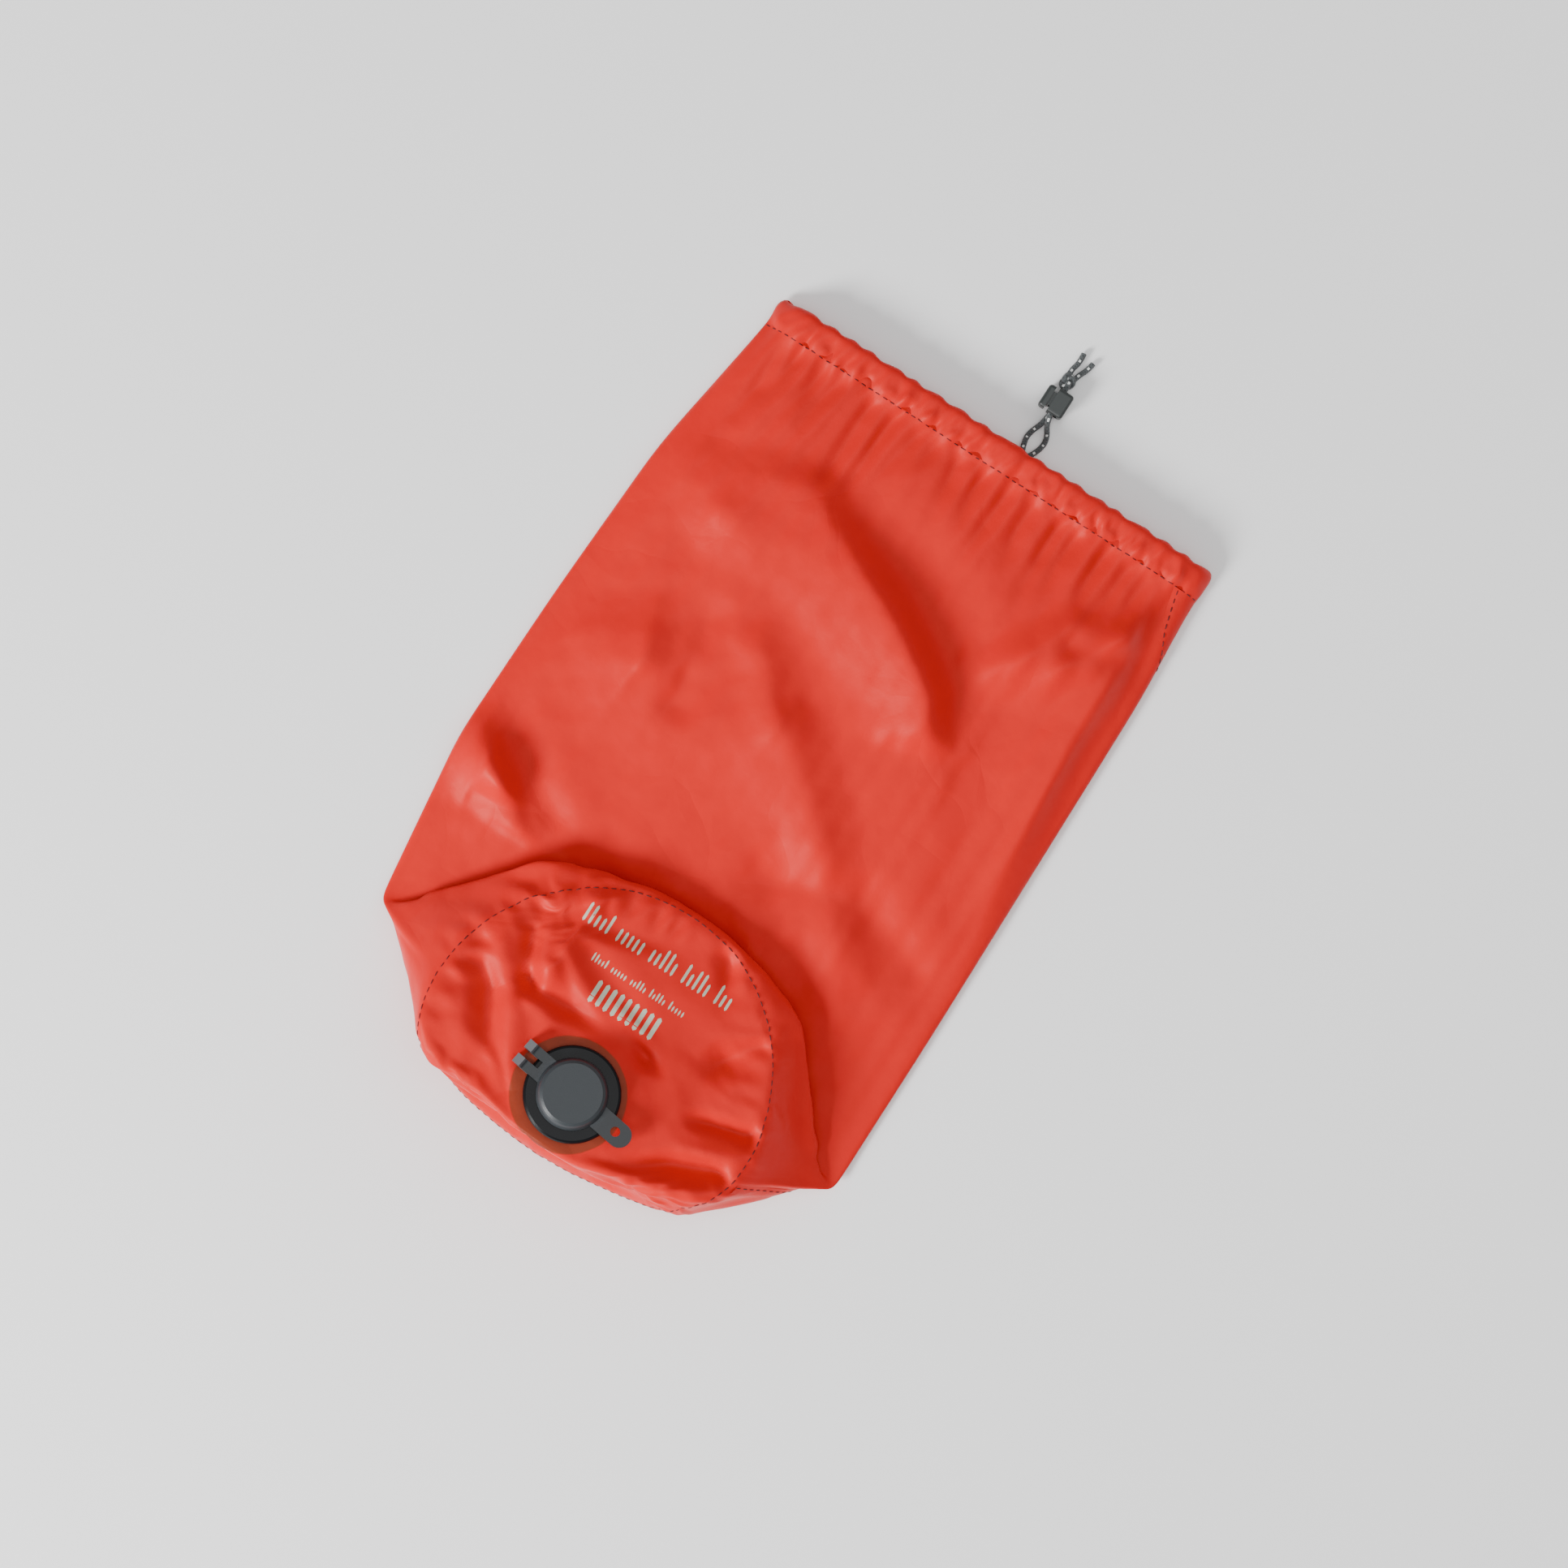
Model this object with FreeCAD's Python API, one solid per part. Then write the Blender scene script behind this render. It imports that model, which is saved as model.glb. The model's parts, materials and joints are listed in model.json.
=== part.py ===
import FreeCAD, Part
import math
import os

from FreeCAD import Vector

# Stuff sack for a sleeping pad, which also serves as its inflation bag. It lies flat on its
# back, empty, with the round base folded up over the front so that the valve in it faces up.
# Millimetres. +Z up from the surface it lies on, +Y towards the mouth, +X to the right.
# The origin is under the middle of the bag, cord left out.

# ---- driving dimensions ----
WALL = 0.8                 # thickness of the cloth walls
SIDE_RISE = 4.0            # height of the flattened tube's side edges
SIDE_SLOPE = 14.0          # width of the slope from a side edge up to the front wall

MOUTH_Y = 148.5            # outer edge of the hem
HEM_SEAM_Y = 137.5         # stitch line under the drawcord tunnel
EAR_Y = -104.5             # the two folded corners beside the base
TUBE_SECTIONS = (          # y, left edge, right edge, height of the front wall
    (MOUTH_Y, -84.0, 93.0, 12.5),
    (HEM_SEAM_Y, -85.5, 93.5, 12.5),
    (82.0, -94.6, 96.5, 15.0),
    (-40.0, -98.6, 98.6, 11.0),
    (EAR_Y, -89.7, 98.6, 9.0),
)

BASE_TOP_Y = -45.0         # where the folded-up base ends on the front wall
BASE_LOW_Y = -148.5        # the lowest fold
BASE_ROLL_Y = -143.0       # where the base rolls over towards the lowest fold
BASE_TOP_Z = 17.0
BASE_ROLL_Z = 34.0
BASE_LOW_Z = 26.0
BASE_BEVEL_Y = -147.0      # the roll's rounding, as one slope
BASE_BEVEL_Z = 32.0
BASE_LEFT = (-56.0, -62.0)     # left end of the roll that edges the base
BASE_RIGHT = (64.0, -64.0)     # right end of it
EAR_LEFT_X = -89.7
EAR_RIGHT_X = 98.6
EAR_Z = 5.0

PANEL_X = 4.2              # centre and radius of the sewn base panel, seen from above
PANEL_Y = -112.7
PANEL_R = 64.0
PANEL_SEAM_WIDTH = 1.8
PANEL_LOW_Z = 5.0          # where the rolled-under panel ends, above the surface
SIDE_SEAM_INSET = 5.0      # side seam, from the right edge
SIDE_SEAM_WIDTH = 4.0

VALVE_X = 3.5
VALVE_Y = -121.8
VALVE_TURN = -8.5          # turn of the cap's tab about the valve's axis, degrees
NECK_R = 9.4
BORE_R = 7.6
FLANGE_R = 16.8
FLANGE_LOW = 0.9           # heights are above the cloth, along the valve's axis
FLANGE_TOP = 3.1
NOZZLE_TOP = 7.2
NECK_LOW = -3.0
PATCH_R = 20.5
PATCH_THICK = 0.4
BACKING_R = 14.5
BACKING_THICK = 1.3

CAP_LOW = 3.4
CAP_TOP = 8.8
CAP_R = 12.4
CAP_TOP_R = 11.4
CAP_HOLLOW_R = 10.0
CAP_ROOF = 1.2
TAB_THICK = 1.3
TAB_WIDTH = 8.5
TAB_REACH = 25.5
TAB_HOLE_AT = 19.4
TAB_HOLE_R = 1.7
FORK_WIDTH = 9.6
FORK_SLOT = 2.8
FORK_SLOT_FROM = 14.6
FORK_REACH = 23.0
HINGE_AT = 18.5            # the soft hinge in the fork, from the valve's axis
HINGE_GAP = 0.1
CAP_OPENS = 130.0          # degrees
RETAINER_R = 15.6
RETAINER_THICK = 0.8

CORD_R = 1.0
CORD_BEND = 0.45           # share of the shorter run that an arc takes up at a route point
TUNNEL_OUTER_R = 2.0
TUNNEL_INNER_R = 1.3
EXIT_X = 15.3              # where both strands leave the back of the hem
EXIT_GAP = 2.4             # between the two strands there
EXIT_TURN_R = 2.0

LOCK_X = 14.3              # middle of the cord lock
LOCK_Y = 169.7
LOCK_Z = 3.7
LOCK_LENGTH = 9.2          # along the cord
LOCK_HEIGHT = 7.2
SHELL_FROM = -1.05         # along X from the lock's middle
SHELL_TO = 4.85
HEAD_FROM = -4.85
HEAD_TO = -2.35
STEM_TO = 2.35
STEM_WIDTH = 5.0
STEM_HEIGHT = 5.6
SPRING_TO = 4.25
LOCK_PLAY = 0.1
ROUND = 1.2
CORD_IN_LOCK_X = 0.7
STRAND_RISE = 1.1          # the two strands lie one above the other in the lock
KNOT = (14.0, 178.0, 3.15)
KNOT_R = 3.1

CORD_LEFT = (
    (EXIT_X - EXIT_GAP / 2, MOUTH_Y, 2.0),
    (12.8, 151.7, 1.3),
    (12.3, 156.0, 1.1),
    (15.0, 162.0, 2.6),
    (15.0, 175.2, 2.6),
    (14.4, 178.0, 2.1),
)
CORD_RIGHT = (
    (EXIT_X + EXIT_GAP / 2, MOUTH_Y, 2.0),
    (18.4, 151.6, 1.3),
    (19.3, 157.2, 1.1),
    (15.0, 162.4, 4.8),
    (15.0, 175.0, 4.8),
    (14.6, 178.2, 4.4),
)
TAIL_LEFT = ((13.1, 178.6, 3.0), (12.9, 182.4, 1.9), (14.0, 186.0, 1.15), (13.6, 189.6, 1.1))
TAIL_RIGHT = ((15.3, 178.2, 3.0), (16.1, 182.0, 1.9), (17.7, 185.0, 1.15), (18.2, 188.3, 1.1))

TILT = math.atan2(BASE_ROLL_Z - BASE_TOP_Z, BASE_TOP_Y - BASE_ROLL_Y)


# ---- helpers ----
def prism(points, start, direction):
    """A closed polygon of 3D points, extruded."""
    loop = [Vector(*p) for p in points]
    wire = Part.makePolygon(loop + [loop[0]])
    wire.translate(start)
    return Part.Face(wire).extrude(direction)


def box(x0, x1, y0, y1, z0, z1):
    return Part.makeBox(x1 - x0, y1 - y0, z1 - z0, Vector(x0, y0, z0))


def ring(inner, outer, low, high):
    return tube_on_z(outer, low, high).cut(tube_on_z(inner, low, high))


def tube_on_z(radius, low, high):
    return Part.makeCylinder(radius, high - low, Vector(0, 0, low))


def spun(points):
    """A profile of (radius, height) points turned about the valve's axis."""
    loop = [Vector(r, 0, z) for r, z in points]
    face = Part.Face(Part.makePolygon(loop + [loop[0]]))
    return face.revolve(Vector(0, 0, 0), Vector(0, 0, 1), 360)


def on_base(shape):
    """Stands a piece made about the valve's axis on the sloping base."""
    placed = shape.copy()
    placed.rotate(Vector(0, 0, 0), Vector(0, 0, 1), VALVE_TURN)
    placed.rotate(Vector(0, 0, 0), Vector(1, 0, 0), -math.degrees(TILT))
    placed.translate(Vector(VALVE_X, VALVE_Y, base_height(VALVE_Y)))
    return placed


def base_height(y):
    return BASE_TOP_Z + (BASE_TOP_Y - y) * math.tan(TILT)


def save(name, shape):
    if not shape.isValid():
        print("not valid:", name)
    shape.exportStep(os.path.join("parts", name + ".step"))
    box_of = shape.BoundBox
    print("%-16s %2d solid(s) %9.1f mm3  z %.2f to %.2f"
          % (name, len(shape.Solids), shape.Volume, box_of.ZMin, box_of.ZMax))


# ---- the bag's cloth ----
def tube_body(inset, beyond_mouth):
    """The flattened tube, or the space inside it when inset is the wall."""
    loops = []
    for y, left, right, height in TUBE_SECTIONS:
        if y == MOUTH_Y:
            y = y + beyond_mouth
        if y == EAR_Y:
            y = y + inset
        low = -1
        left = left + inset
        right = right - inset
        top = height - inset
        side = SIDE_RISE - inset / 2
        corners = [(left, low), (left, side), (left + SIDE_SLOPE, top),
                   (right - SIDE_SLOPE, top), (right, side), (right, low)]
        loop = [Vector(x, y, z) for x, z in corners]
        loops.append(Part.makePolygon(loop + [loop[0]]))
    above_rest = box(-150, 150, -200, 200, inset, 60)
    return Part.makeLoft(loops, True, True).common(above_rest)


def base_outline(inset):
    """The folded base from above: two straight folds, the roll at the top, the lowest fold."""
    left = Vector(EAR_LEFT_X, EAR_Y, 0)
    right = Vector(EAR_RIGHT_X, EAR_Y, 0)
    roll_left = Vector(*BASE_LEFT, 0)
    roll_right = Vector(*BASE_RIGHT, 0)
    roll = Part.Arc(roll_left, Vector(PANEL_X, BASE_TOP_Y, 0), roll_right)
    lowest = Part.Arc(right, Vector(PANEL_X, BASE_LOW_Y, 0), left)
    edges = [Part.LineSegment(left, roll_left), roll, Part.LineSegment(roll_right, right), lowest]
    wire = Part.Wire([e.toShape() for e in edges])
    face = Part.Face(wire)
    if inset:
        face = face.makeOffset2D(-inset)
    return face


def base_body(inset):
    """The folded-up base as a solid, or the space inside it."""
    tall = BASE_ROLL_Z + 10
    block = base_outline(inset).extrude(Vector(0, 0, tall))
    x0 = EAR_LEFT_X - 20
    x1 = EAR_RIGHT_X + 20
    side = prism([(x0, 0, inset), (x0, 0, BASE_TOP_Z - inset),
                  (x0, BASE_ROLL_Y - BASE_TOP_Y, BASE_ROLL_Z - inset),
                  (x0, BASE_BEVEL_Y - BASE_TOP_Y + inset, BASE_BEVEL_Z - inset),
                  (x0, BASE_LOW_Y - BASE_TOP_Y + inset, BASE_LOW_Z - inset),
                  (x0, BASE_LOW_Y - BASE_TOP_Y + inset, inset)],
                 Vector(0, BASE_TOP_Y, 0), Vector(x1 - x0, 0, 0))
    shoulder_left = PANEL_X - PANEL_R + 6
    shoulder_right = PANEL_X + PANEL_R - 6
    front = prism([(EAR_LEFT_X + inset, 0, inset), (EAR_LEFT_X + inset, 0, EAR_Z - inset / 2),
                   (shoulder_left, 0, BASE_ROLL_Z), (shoulder_right, 0, BASE_ROLL_Z),
                   (EAR_RIGHT_X - inset, 0, EAR_Z - inset / 2), (EAR_RIGHT_X - inset, 0, inset)],
                  Vector(0, BASE_LOW_Y, 0), Vector(0, BASE_TOP_Y - BASE_LOW_Y + 1, 0))
    return block.common(side).common(front)


def bag_shell():
    outer = tube_body(0, 0).fuse(base_body(0))
    inner = tube_body(WALL, 5).fuse(base_body(WALL))
    return outer.cut(inner)


def panel_zone(radius, low):
    return Part.makeCylinder(radius, 80, Vector(PANEL_X, PANEL_Y, low))


def side_seam_zone():
    """A strip of the front wall, a little in from the right edge."""
    edge = [(right, y) for y, left, right, height in TUBE_SECTIONS if y != MOUTH_Y and y != EAR_Y]
    inner = SIDE_SEAM_INSET + SIDE_SEAM_WIDTH
    run = [(x - SIDE_SEAM_INSET, y, SIDE_RISE / 2) for x, y in edge]
    back = [(x - inner, y, SIDE_RISE / 2) for x, y in reversed(edge)]
    return prism(run + back, Vector(0, 0, 0), Vector(0, 0, 30))


def hem_route():
    """Middle line of the drawcord tunnel round the flattened mouth."""
    y, left, right, height = TUBE_SECTIONS[0]
    y = y - TUNNEL_OUTER_R
    low = TUNNEL_OUTER_R
    high = height - TUNNEL_OUTER_R
    bend = (high - low) / 2
    x0 = left + TUNNEL_OUTER_R + bend
    x1 = right - TUNNEL_OUTER_R - bend
    middle = low + bend
    return x0, x1, y, low, high, middle, bend


def round_hem(radius):
    """A closed tube round the mouth, in four lengths."""
    x0, x1, y, low, high, middle, bend = hem_route()
    along = Vector(1, 0, 0)
    pieces = [Part.makeCylinder(radius, x1 - x0, Vector(x0, y, z), along) for z in (low, high)]
    for x, turn in ((x0, 90), (x1, -90)):
        half = Part.makeTorus(bend, radius, Vector(0, 0, 0), Vector(0, 0, 1), -180, 180, 180)
        half.rotate(Vector(0, 0, 0), Vector(1, 0, 0), 90)
        half.rotate(Vector(0, 0, 0), Vector(0, 1, 0), -turn)
        half.translate(Vector(x, y, middle))
        pieces.append(half)
    return pieces[0].multiFuse(pieces[1:])


def hem_tunnel(shell):
    y = MOUTH_Y - TUNNEL_OUTER_R
    band = shell.common(box(-120, 120, HEM_SEAM_Y, y, -1, 30))
    exit_half = EXIT_GAP / 2 + CORD_R + EXIT_TURN_R
    way_out = box(EXIT_X - exit_half, EXIT_X + exit_half, y, MOUTH_Y + 1, 0.8, 3.2)
    return band.fuse(round_hem(TUNNEL_OUTER_R)).cut(round_hem(TUNNEL_INNER_R)).cut(way_out)


# ---- the valve in the base ----
def valve_body():
    return spun([(BORE_R, NECK_LOW), (NECK_R, NECK_LOW), (NECK_R, FLANGE_LOW),
                 (FLANGE_R - 0.5, FLANGE_LOW), (FLANGE_R, FLANGE_LOW + 0.5),
                 (FLANGE_R, FLANGE_TOP - 1.0), (FLANGE_R - 0.35, FLANGE_TOP - 0.35),
                 (FLANGE_R - 1.0, FLANGE_TOP), (NECK_R, FLANGE_TOP),
                 (NECK_R, NOZZLE_TOP - 0.6), (NECK_R - 0.6, NOZZLE_TOP), (BORE_R, NOZZLE_TOP)])


def strap(x0, x1, width, low, high):
    return box(x0, x1, -width / 2, width / 2, low, high)


def hinge_rod(radius):
    height = CAP_LOW + TAB_THICK / 2
    return Part.makeCylinder(radius, FORK_WIDTH, Vector(-HINGE_AT, -FORK_WIDTH / 2, height),
                             Vector(0, 1, 0))


def valve_cap():
    """Cup over the nozzle with a pull tab on one side and the root of the fork on the other."""
    high = CAP_LOW + TAB_THICK
    cup = spun([(0, CAP_LOW), (CAP_R, CAP_LOW), (CAP_R, CAP_LOW + 1.0), (CAP_TOP_R + 0.3, CAP_TOP - 1.6),
                (CAP_TOP_R - 0.2, CAP_TOP - 0.6), (CAP_TOP_R - 1.2, CAP_TOP), (0, CAP_TOP)])
    tab_end = TAB_REACH - TAB_WIDTH / 2
    tab = strap(0, tab_end, TAB_WIDTH, CAP_LOW, high)
    tab = tab.fuse(Part.makeCylinder(TAB_WIDTH / 2, TAB_THICK, Vector(tab_end, 0, CAP_LOW)))
    hole = Part.makeCylinder(TAB_HOLE_R, 10, Vector(TAB_HOLE_AT, 0, 0))
    fork = strap(-HINGE_AT, 0, FORK_WIDTH, CAP_LOW, high).fuse(hinge_rod(TAB_THICK / 2))
    slot = strap(-FORK_REACH - 5, -FORK_SLOT_FROM, FORK_SLOT, 0, 10)
    hollow = tube_on_z(CAP_HOLLOW_R, 0, CAP_TOP - CAP_ROOF)
    return cup.fuse(tab).fuse(fork.cut(slot)).cut(hollow).cut(hole)


def hinge_groove():
    """The notch that lets the strap fold back on itself as far as the cap opens."""
    slope = math.radians(180 - CAP_OPENS)
    middle = CAP_LOW + TAB_THICK / 2
    below = (TAB_THICK / 2 + HINGE_GAP) / math.cos(slope)
    top = CAP_LOW + TAB_THICK + 1
    run = (top - middle + below) / math.tan(slope)
    y = -FORK_WIDTH / 2 - 1
    corners = [(-HINGE_AT, y, middle - below), (-HINGE_AT - run, y, top), (-HINGE_AT, y, top)]
    return prism(corners, Vector(0, 0, 0), Vector(0, FORK_WIDTH + 2, 0))


def cap_retainer():
    """Ring under the flange whose two legs rise to the fork and hold the open cap."""
    high = CAP_LOW + TAB_THICK
    foot = strap(-FORK_REACH, -NECK_R - 2, FORK_WIDTH, 0.05, RETAINER_THICK)
    leg = strap(-FORK_REACH, -FORK_REACH + TAB_THICK, FORK_WIDTH, 0.05, high)
    arm = strap(-FORK_REACH, -HINGE_AT, FORK_WIDTH, CAP_LOW, high)
    fork = foot.fuse(leg).fuse(arm)
    fork = fork.cut(strap(-FORK_REACH - 5, -FORK_SLOT_FROM - 1.5, FORK_SLOT, -1, 10))
    fork = fork.cut(hinge_rod(TAB_THICK / 2 + HINGE_GAP)).cut(hinge_groove())
    hoop = ring(NECK_R + 0.1, RETAINER_R, 0.05, RETAINER_THICK)
    return hoop.fuse(fork.cut(tube_on_z(NECK_R + 0.1, -1, 10)))


# ---- the drawcord ----
def cord_tube(points, name):
    """Straight runs joined by tangent arcs, as one tube."""
    route = [Vector(*p) for p in points]
    edges = []
    start = route[0]
    for before, corner, after in zip(route, route[1:], route[2:]):
        back = before - corner
        ahead = after - corner
        reach = CORD_BEND * min(back.Length, ahead.Length)
        turn = math.pi - back.getAngle(ahead)
        back.normalize()
        ahead.normalize()
        radius = reach / math.tan(turn / 2)
        print("  %s bend radius %.1f mm" % (name, radius))
        first = corner + back * reach
        last = corner + ahead * reach
        inward = back + ahead
        inward.normalize()
        centre = corner + inward * math.hypot(radius, reach)
        middle = centre - inward * radius
        edges.append(Part.LineSegment(start, first).toShape())
        edges.append(Part.Arc(first, middle, last).toShape())
        start = last
    edges.append(Part.LineSegment(start, route[-1]).toShape())
    path = Part.Wire(edges)
    facing = route[1] - route[0]
    section = Part.Wire([Part.makeCircle(CORD_R, route[0], facing)])
    tube = path.makePipeShell([section], True, False)
    should_be = math.pi * CORD_R ** 2 * path.Length
    print("  %s length %.1f mm, volume %.3f of its section times length"
          % (name, path.Length, tube.Volume / should_be))
    return tube


def cord_in_hem():
    """The drawcord inside its tunnel, turning out through the exit at both ends."""
    x0, x1, y, low, high, middle, bend = hem_route()
    left_out = EXIT_X - EXIT_GAP / 2
    right_out = EXIT_X + EXIT_GAP / 2
    turn = EXIT_TURN_R

    def line(a, b):
        return Part.LineSegment(Vector(*a), Vector(*b)).toShape()

    def arc(a, b, c):
        return Part.Arc(Vector(*a), Vector(*b), Vector(*c)).toShape()

    near = turn * (1 - math.cos(math.pi / 4))
    edges = [
        arc((left_out, y + turn, low), (left_out - near, y + near, low), (left_out - turn, y, low)),
        line((left_out - turn, y, low), (x0, y, low)),
        arc((x0, y, low), (x0 - bend, y, middle), (x0, y, high)),
        line((x0, y, high), (x1, y, high)),
        arc((x1, y, high), (x1 + bend, y, middle), (x1, y, low)),
        line((x1, y, low), (right_out + turn, y, low)),
        arc((right_out + turn, y, low), (right_out + near, y + near, low), (right_out, y + turn, low)),
    ]
    path = Part.Wire(edges)
    section = Part.Wire([Part.makeCircle(CORD_R, Vector(left_out, y + turn, low), Vector(0, 1, 0))])
    tube = path.makePipeShell([section], True, False)
    print("  drawcord in the hem: length %.1f mm, bends %.1f and %.1f mm" % (path.Length, bend, turn))
    return tube


def cord_knot():
    return Part.makeSphere(KNOT_R, Vector(*KNOT))


# ---- the cord lock ----
def lock_space(x0, x1, width, height):
    """A block in the cord lock, from one place along X to another."""
    return box(LOCK_X + x0, LOCK_X + x1, LOCK_Y - width / 2, LOCK_Y + width / 2,
               LOCK_Z - height / 2, LOCK_Z + height / 2)


def rounded(block, keep_x):
    """Rounds a block's edges, except those on the face at keep_x."""
    edges = [e for e in block.Edges if abs(e.BoundBox.XMin - keep_x) + abs(e.BoundBox.XMax - keep_x) > 1e-6]
    return block.makeFillet(ROUND, edges)


def lock_shell():
    block = lock_space(SHELL_FROM, SHELL_TO, LOCK_LENGTH, LOCK_HEIGHT)
    block = rounded(block, LOCK_X + SHELL_FROM)
    bore = lock_space(SHELL_FROM - 1, SPRING_TO, STEM_WIDTH + 2 * LOCK_PLAY, STEM_HEIGHT + 2 * LOCK_PLAY)
    cord_way = lock_space(CORD_IN_LOCK_X - CORD_R - 0.05, CORD_IN_LOCK_X + CORD_R + 1.4,
                          LOCK_LENGTH + 2, 2 * (STRAND_RISE + CORD_R) + 0.2)
    return block.cut(bore).cut(cord_way)


def lock_plunger():
    head = lock_space(HEAD_FROM, HEAD_TO, LOCK_LENGTH - 0.6, LOCK_HEIGHT - 0.4)
    head = rounded(head, LOCK_X + HEAD_TO)
    stem = lock_space(HEAD_TO, STEM_TO, STEM_WIDTH, STEM_HEIGHT)
    travel = -SHELL_FROM + HEAD_TO
    cord_way = lock_space(CORD_IN_LOCK_X - CORD_R + travel - 0.05, CORD_IN_LOCK_X + CORD_R + 0.05,
                          LOCK_LENGTH + 2, 2 * (STRAND_RISE + CORD_R) + 0.2)
    return head.fuse(stem).cut(cord_way)


def lock_spring():
    """Cone spring between the end of the stem and the end of the bore."""
    wire_r = 0.14
    turns = 3
    gap = SPRING_TO - STEM_TO
    height = gap - 2 * wire_r - 0.1
    small_r = 0.8
    large_r = 2.1
    slope = math.degrees(math.atan2(large_r - small_r, height))
    path = Part.makeHelix(height / turns, height, small_r, slope)
    section = Part.Wire([Part.makeCircle(wire_r, Vector(small_r, 0, 0), Vector(0, 1, 0))])
    coil = Part.Wire(path.Edges).makePipeShell([section], True, True)
    coil.rotate(Vector(0, 0, 0), Vector(0, 1, 0), 90)
    coil.translate(Vector(LOCK_X + STEM_TO + wire_r + 0.05, LOCK_Y, LOCK_Z))
    return coil


def main():
    os.makedirs("parts", exist_ok=True)
    shell = bag_shell()
    print("bag shell", shell.isValid(), len(shell.Solids))
    neck_hole = on_base(tube_on_z(NECK_R + 0.1, -20, 20))
    seam = panel_zone(PANEL_R + PANEL_SEAM_WIDTH, PANEL_LOW_Z - PANEL_SEAM_WIDTH)
    panel = panel_zone(PANEL_R, PANEL_LOW_Z)
    strip = side_seam_zone()
    below_hem = box(-120, 120, -160, HEM_SEAM_Y, -1, 60)
    save("body_panel", shell.common(below_hem).cut(seam).cut(strip))
    save("side_seam", shell.common(strip))
    save("hem_tunnel", hem_tunnel(shell))
    save("base_seam", shell.common(seam.cut(panel)))
    save("base_panel", shell.common(panel).cut(neck_hole))

    under = -WALL
    save("weld_patch", on_base(ring(NECK_R + 0.1, PATCH_R, under - PATCH_THICK, under)))
    low = under - PATCH_THICK - BACKING_THICK
    save("backing_ring", on_base(ring(NECK_R + 0.1, BACKING_R, low, under - PATCH_THICK)))
    save("valve_body", on_base(valve_body()))
    save("cap_retainer", on_base(cap_retainer()))
    save("valve_cap", on_base(valve_cap()))

    knot = cord_knot()
    held = cord_in_hem()
    save("cord_in_hem", held)
    save("cord_knot", knot)
    save("cord_left", cord_tube(CORD_LEFT, "left strand").cut(knot).cut(held))
    save("cord_right", cord_tube(CORD_RIGHT, "right strand").cut(knot).cut(held))
    save("cord_tail_left", cord_tube(TAIL_LEFT, "left tail").cut(knot))
    save("cord_tail_right", cord_tube(TAIL_RIGHT, "right tail").cut(knot))

    save("lock_shell", lock_shell())
    save("lock_plunger", lock_plunger())
    save("lock_spring", lock_spring())


main()
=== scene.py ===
import json
import math
import bmesh
import bpy
import numpy as np
from mathutils import Matrix, Vector
from mathutils.bvhtree import BVHTree


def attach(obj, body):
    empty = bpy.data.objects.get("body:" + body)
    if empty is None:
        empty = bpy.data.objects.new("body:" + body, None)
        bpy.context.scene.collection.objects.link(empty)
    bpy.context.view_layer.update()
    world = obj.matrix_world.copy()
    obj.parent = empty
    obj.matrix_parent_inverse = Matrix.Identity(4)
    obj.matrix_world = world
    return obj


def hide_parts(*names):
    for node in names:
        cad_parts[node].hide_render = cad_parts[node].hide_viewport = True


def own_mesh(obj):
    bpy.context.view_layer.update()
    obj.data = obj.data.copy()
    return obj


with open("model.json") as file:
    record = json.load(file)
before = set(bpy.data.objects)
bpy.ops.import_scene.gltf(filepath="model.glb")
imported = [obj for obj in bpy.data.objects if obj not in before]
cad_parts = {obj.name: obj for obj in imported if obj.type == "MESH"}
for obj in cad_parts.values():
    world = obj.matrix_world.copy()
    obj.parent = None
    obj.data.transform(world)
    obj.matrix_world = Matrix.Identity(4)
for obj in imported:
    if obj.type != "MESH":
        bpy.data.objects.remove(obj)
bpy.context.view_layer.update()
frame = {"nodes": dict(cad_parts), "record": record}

# ---------------------------------------------------------------------------------------------
# Table top, lamps and camera. The sack lies flat, and it is seen from straight above with its
# mouth turned to the upper right. One broad lamp stands low beyond the folded base.
# ---------------------------------------------------------------------------------------------
MM = 0.001
CAMERA_ROLL = math.radians(-32.8)
CAMERA_HEIGHT = 1.25
FRAME_WIDTH = 0.5481
FRAME_MIDDLE = Vector((6.9 * MM, 6.5 * MM, 0.0))


def placed(name, data):
    """A new object of a mesh, curve, lamp or camera, in the scene at the origin."""
    item = bpy.data.objects.new(name, data)
    bpy.context.scene.collection.objects.link(item)
    return item


camera_data = bpy.data.cameras.new("camera")
camera_data.sensor_width = 36.0
camera_data.lens = 36.0 * CAMERA_HEIGHT / FRAME_WIDTH
camera = placed("camera", camera_data)
camera.location = FRAME_MIDDLE + Vector((0, 0, CAMERA_HEIGHT))
camera.rotation_euler = (0, 0, -CAMERA_ROLL)
bpy.context.scene.camera = camera


def soft_lamp(name, place, size, power):
    """A round lamp that faces the sack."""
    data = bpy.data.lights.new(name, "AREA")
    data.shape = "DISK"
    data.size = size
    data.energy = power
    lamp = placed(name, data)
    lamp.location = place
    lamp.rotation_euler = (-Vector(place)).to_track_quat("-Z", "Y").to_euler()


soft_lamp("key_lamp", (-0.75, -1.6, 1.0), 0.7, 73.0)
soft_lamp("fill_lamp", (0.9, 0.9, 1.6), 1.6, 7.0)
soft_lamp("top_lamp", (0.1, 0.0, 2.2), 1.6, 14.0)


def plain_material(name, colour, roughness):
    """A new material; returns it with its node tree and its surface shader."""
    material = bpy.data.materials.new(name)
    material.use_nodes = True
    tree = material.node_tree
    shader = tree.nodes["Principled BSDF"]
    shader.inputs["Base Color"].default_value = (*colour, 1)
    shader.inputs["Roughness"].default_value = roughness
    return material, tree, shader


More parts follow.
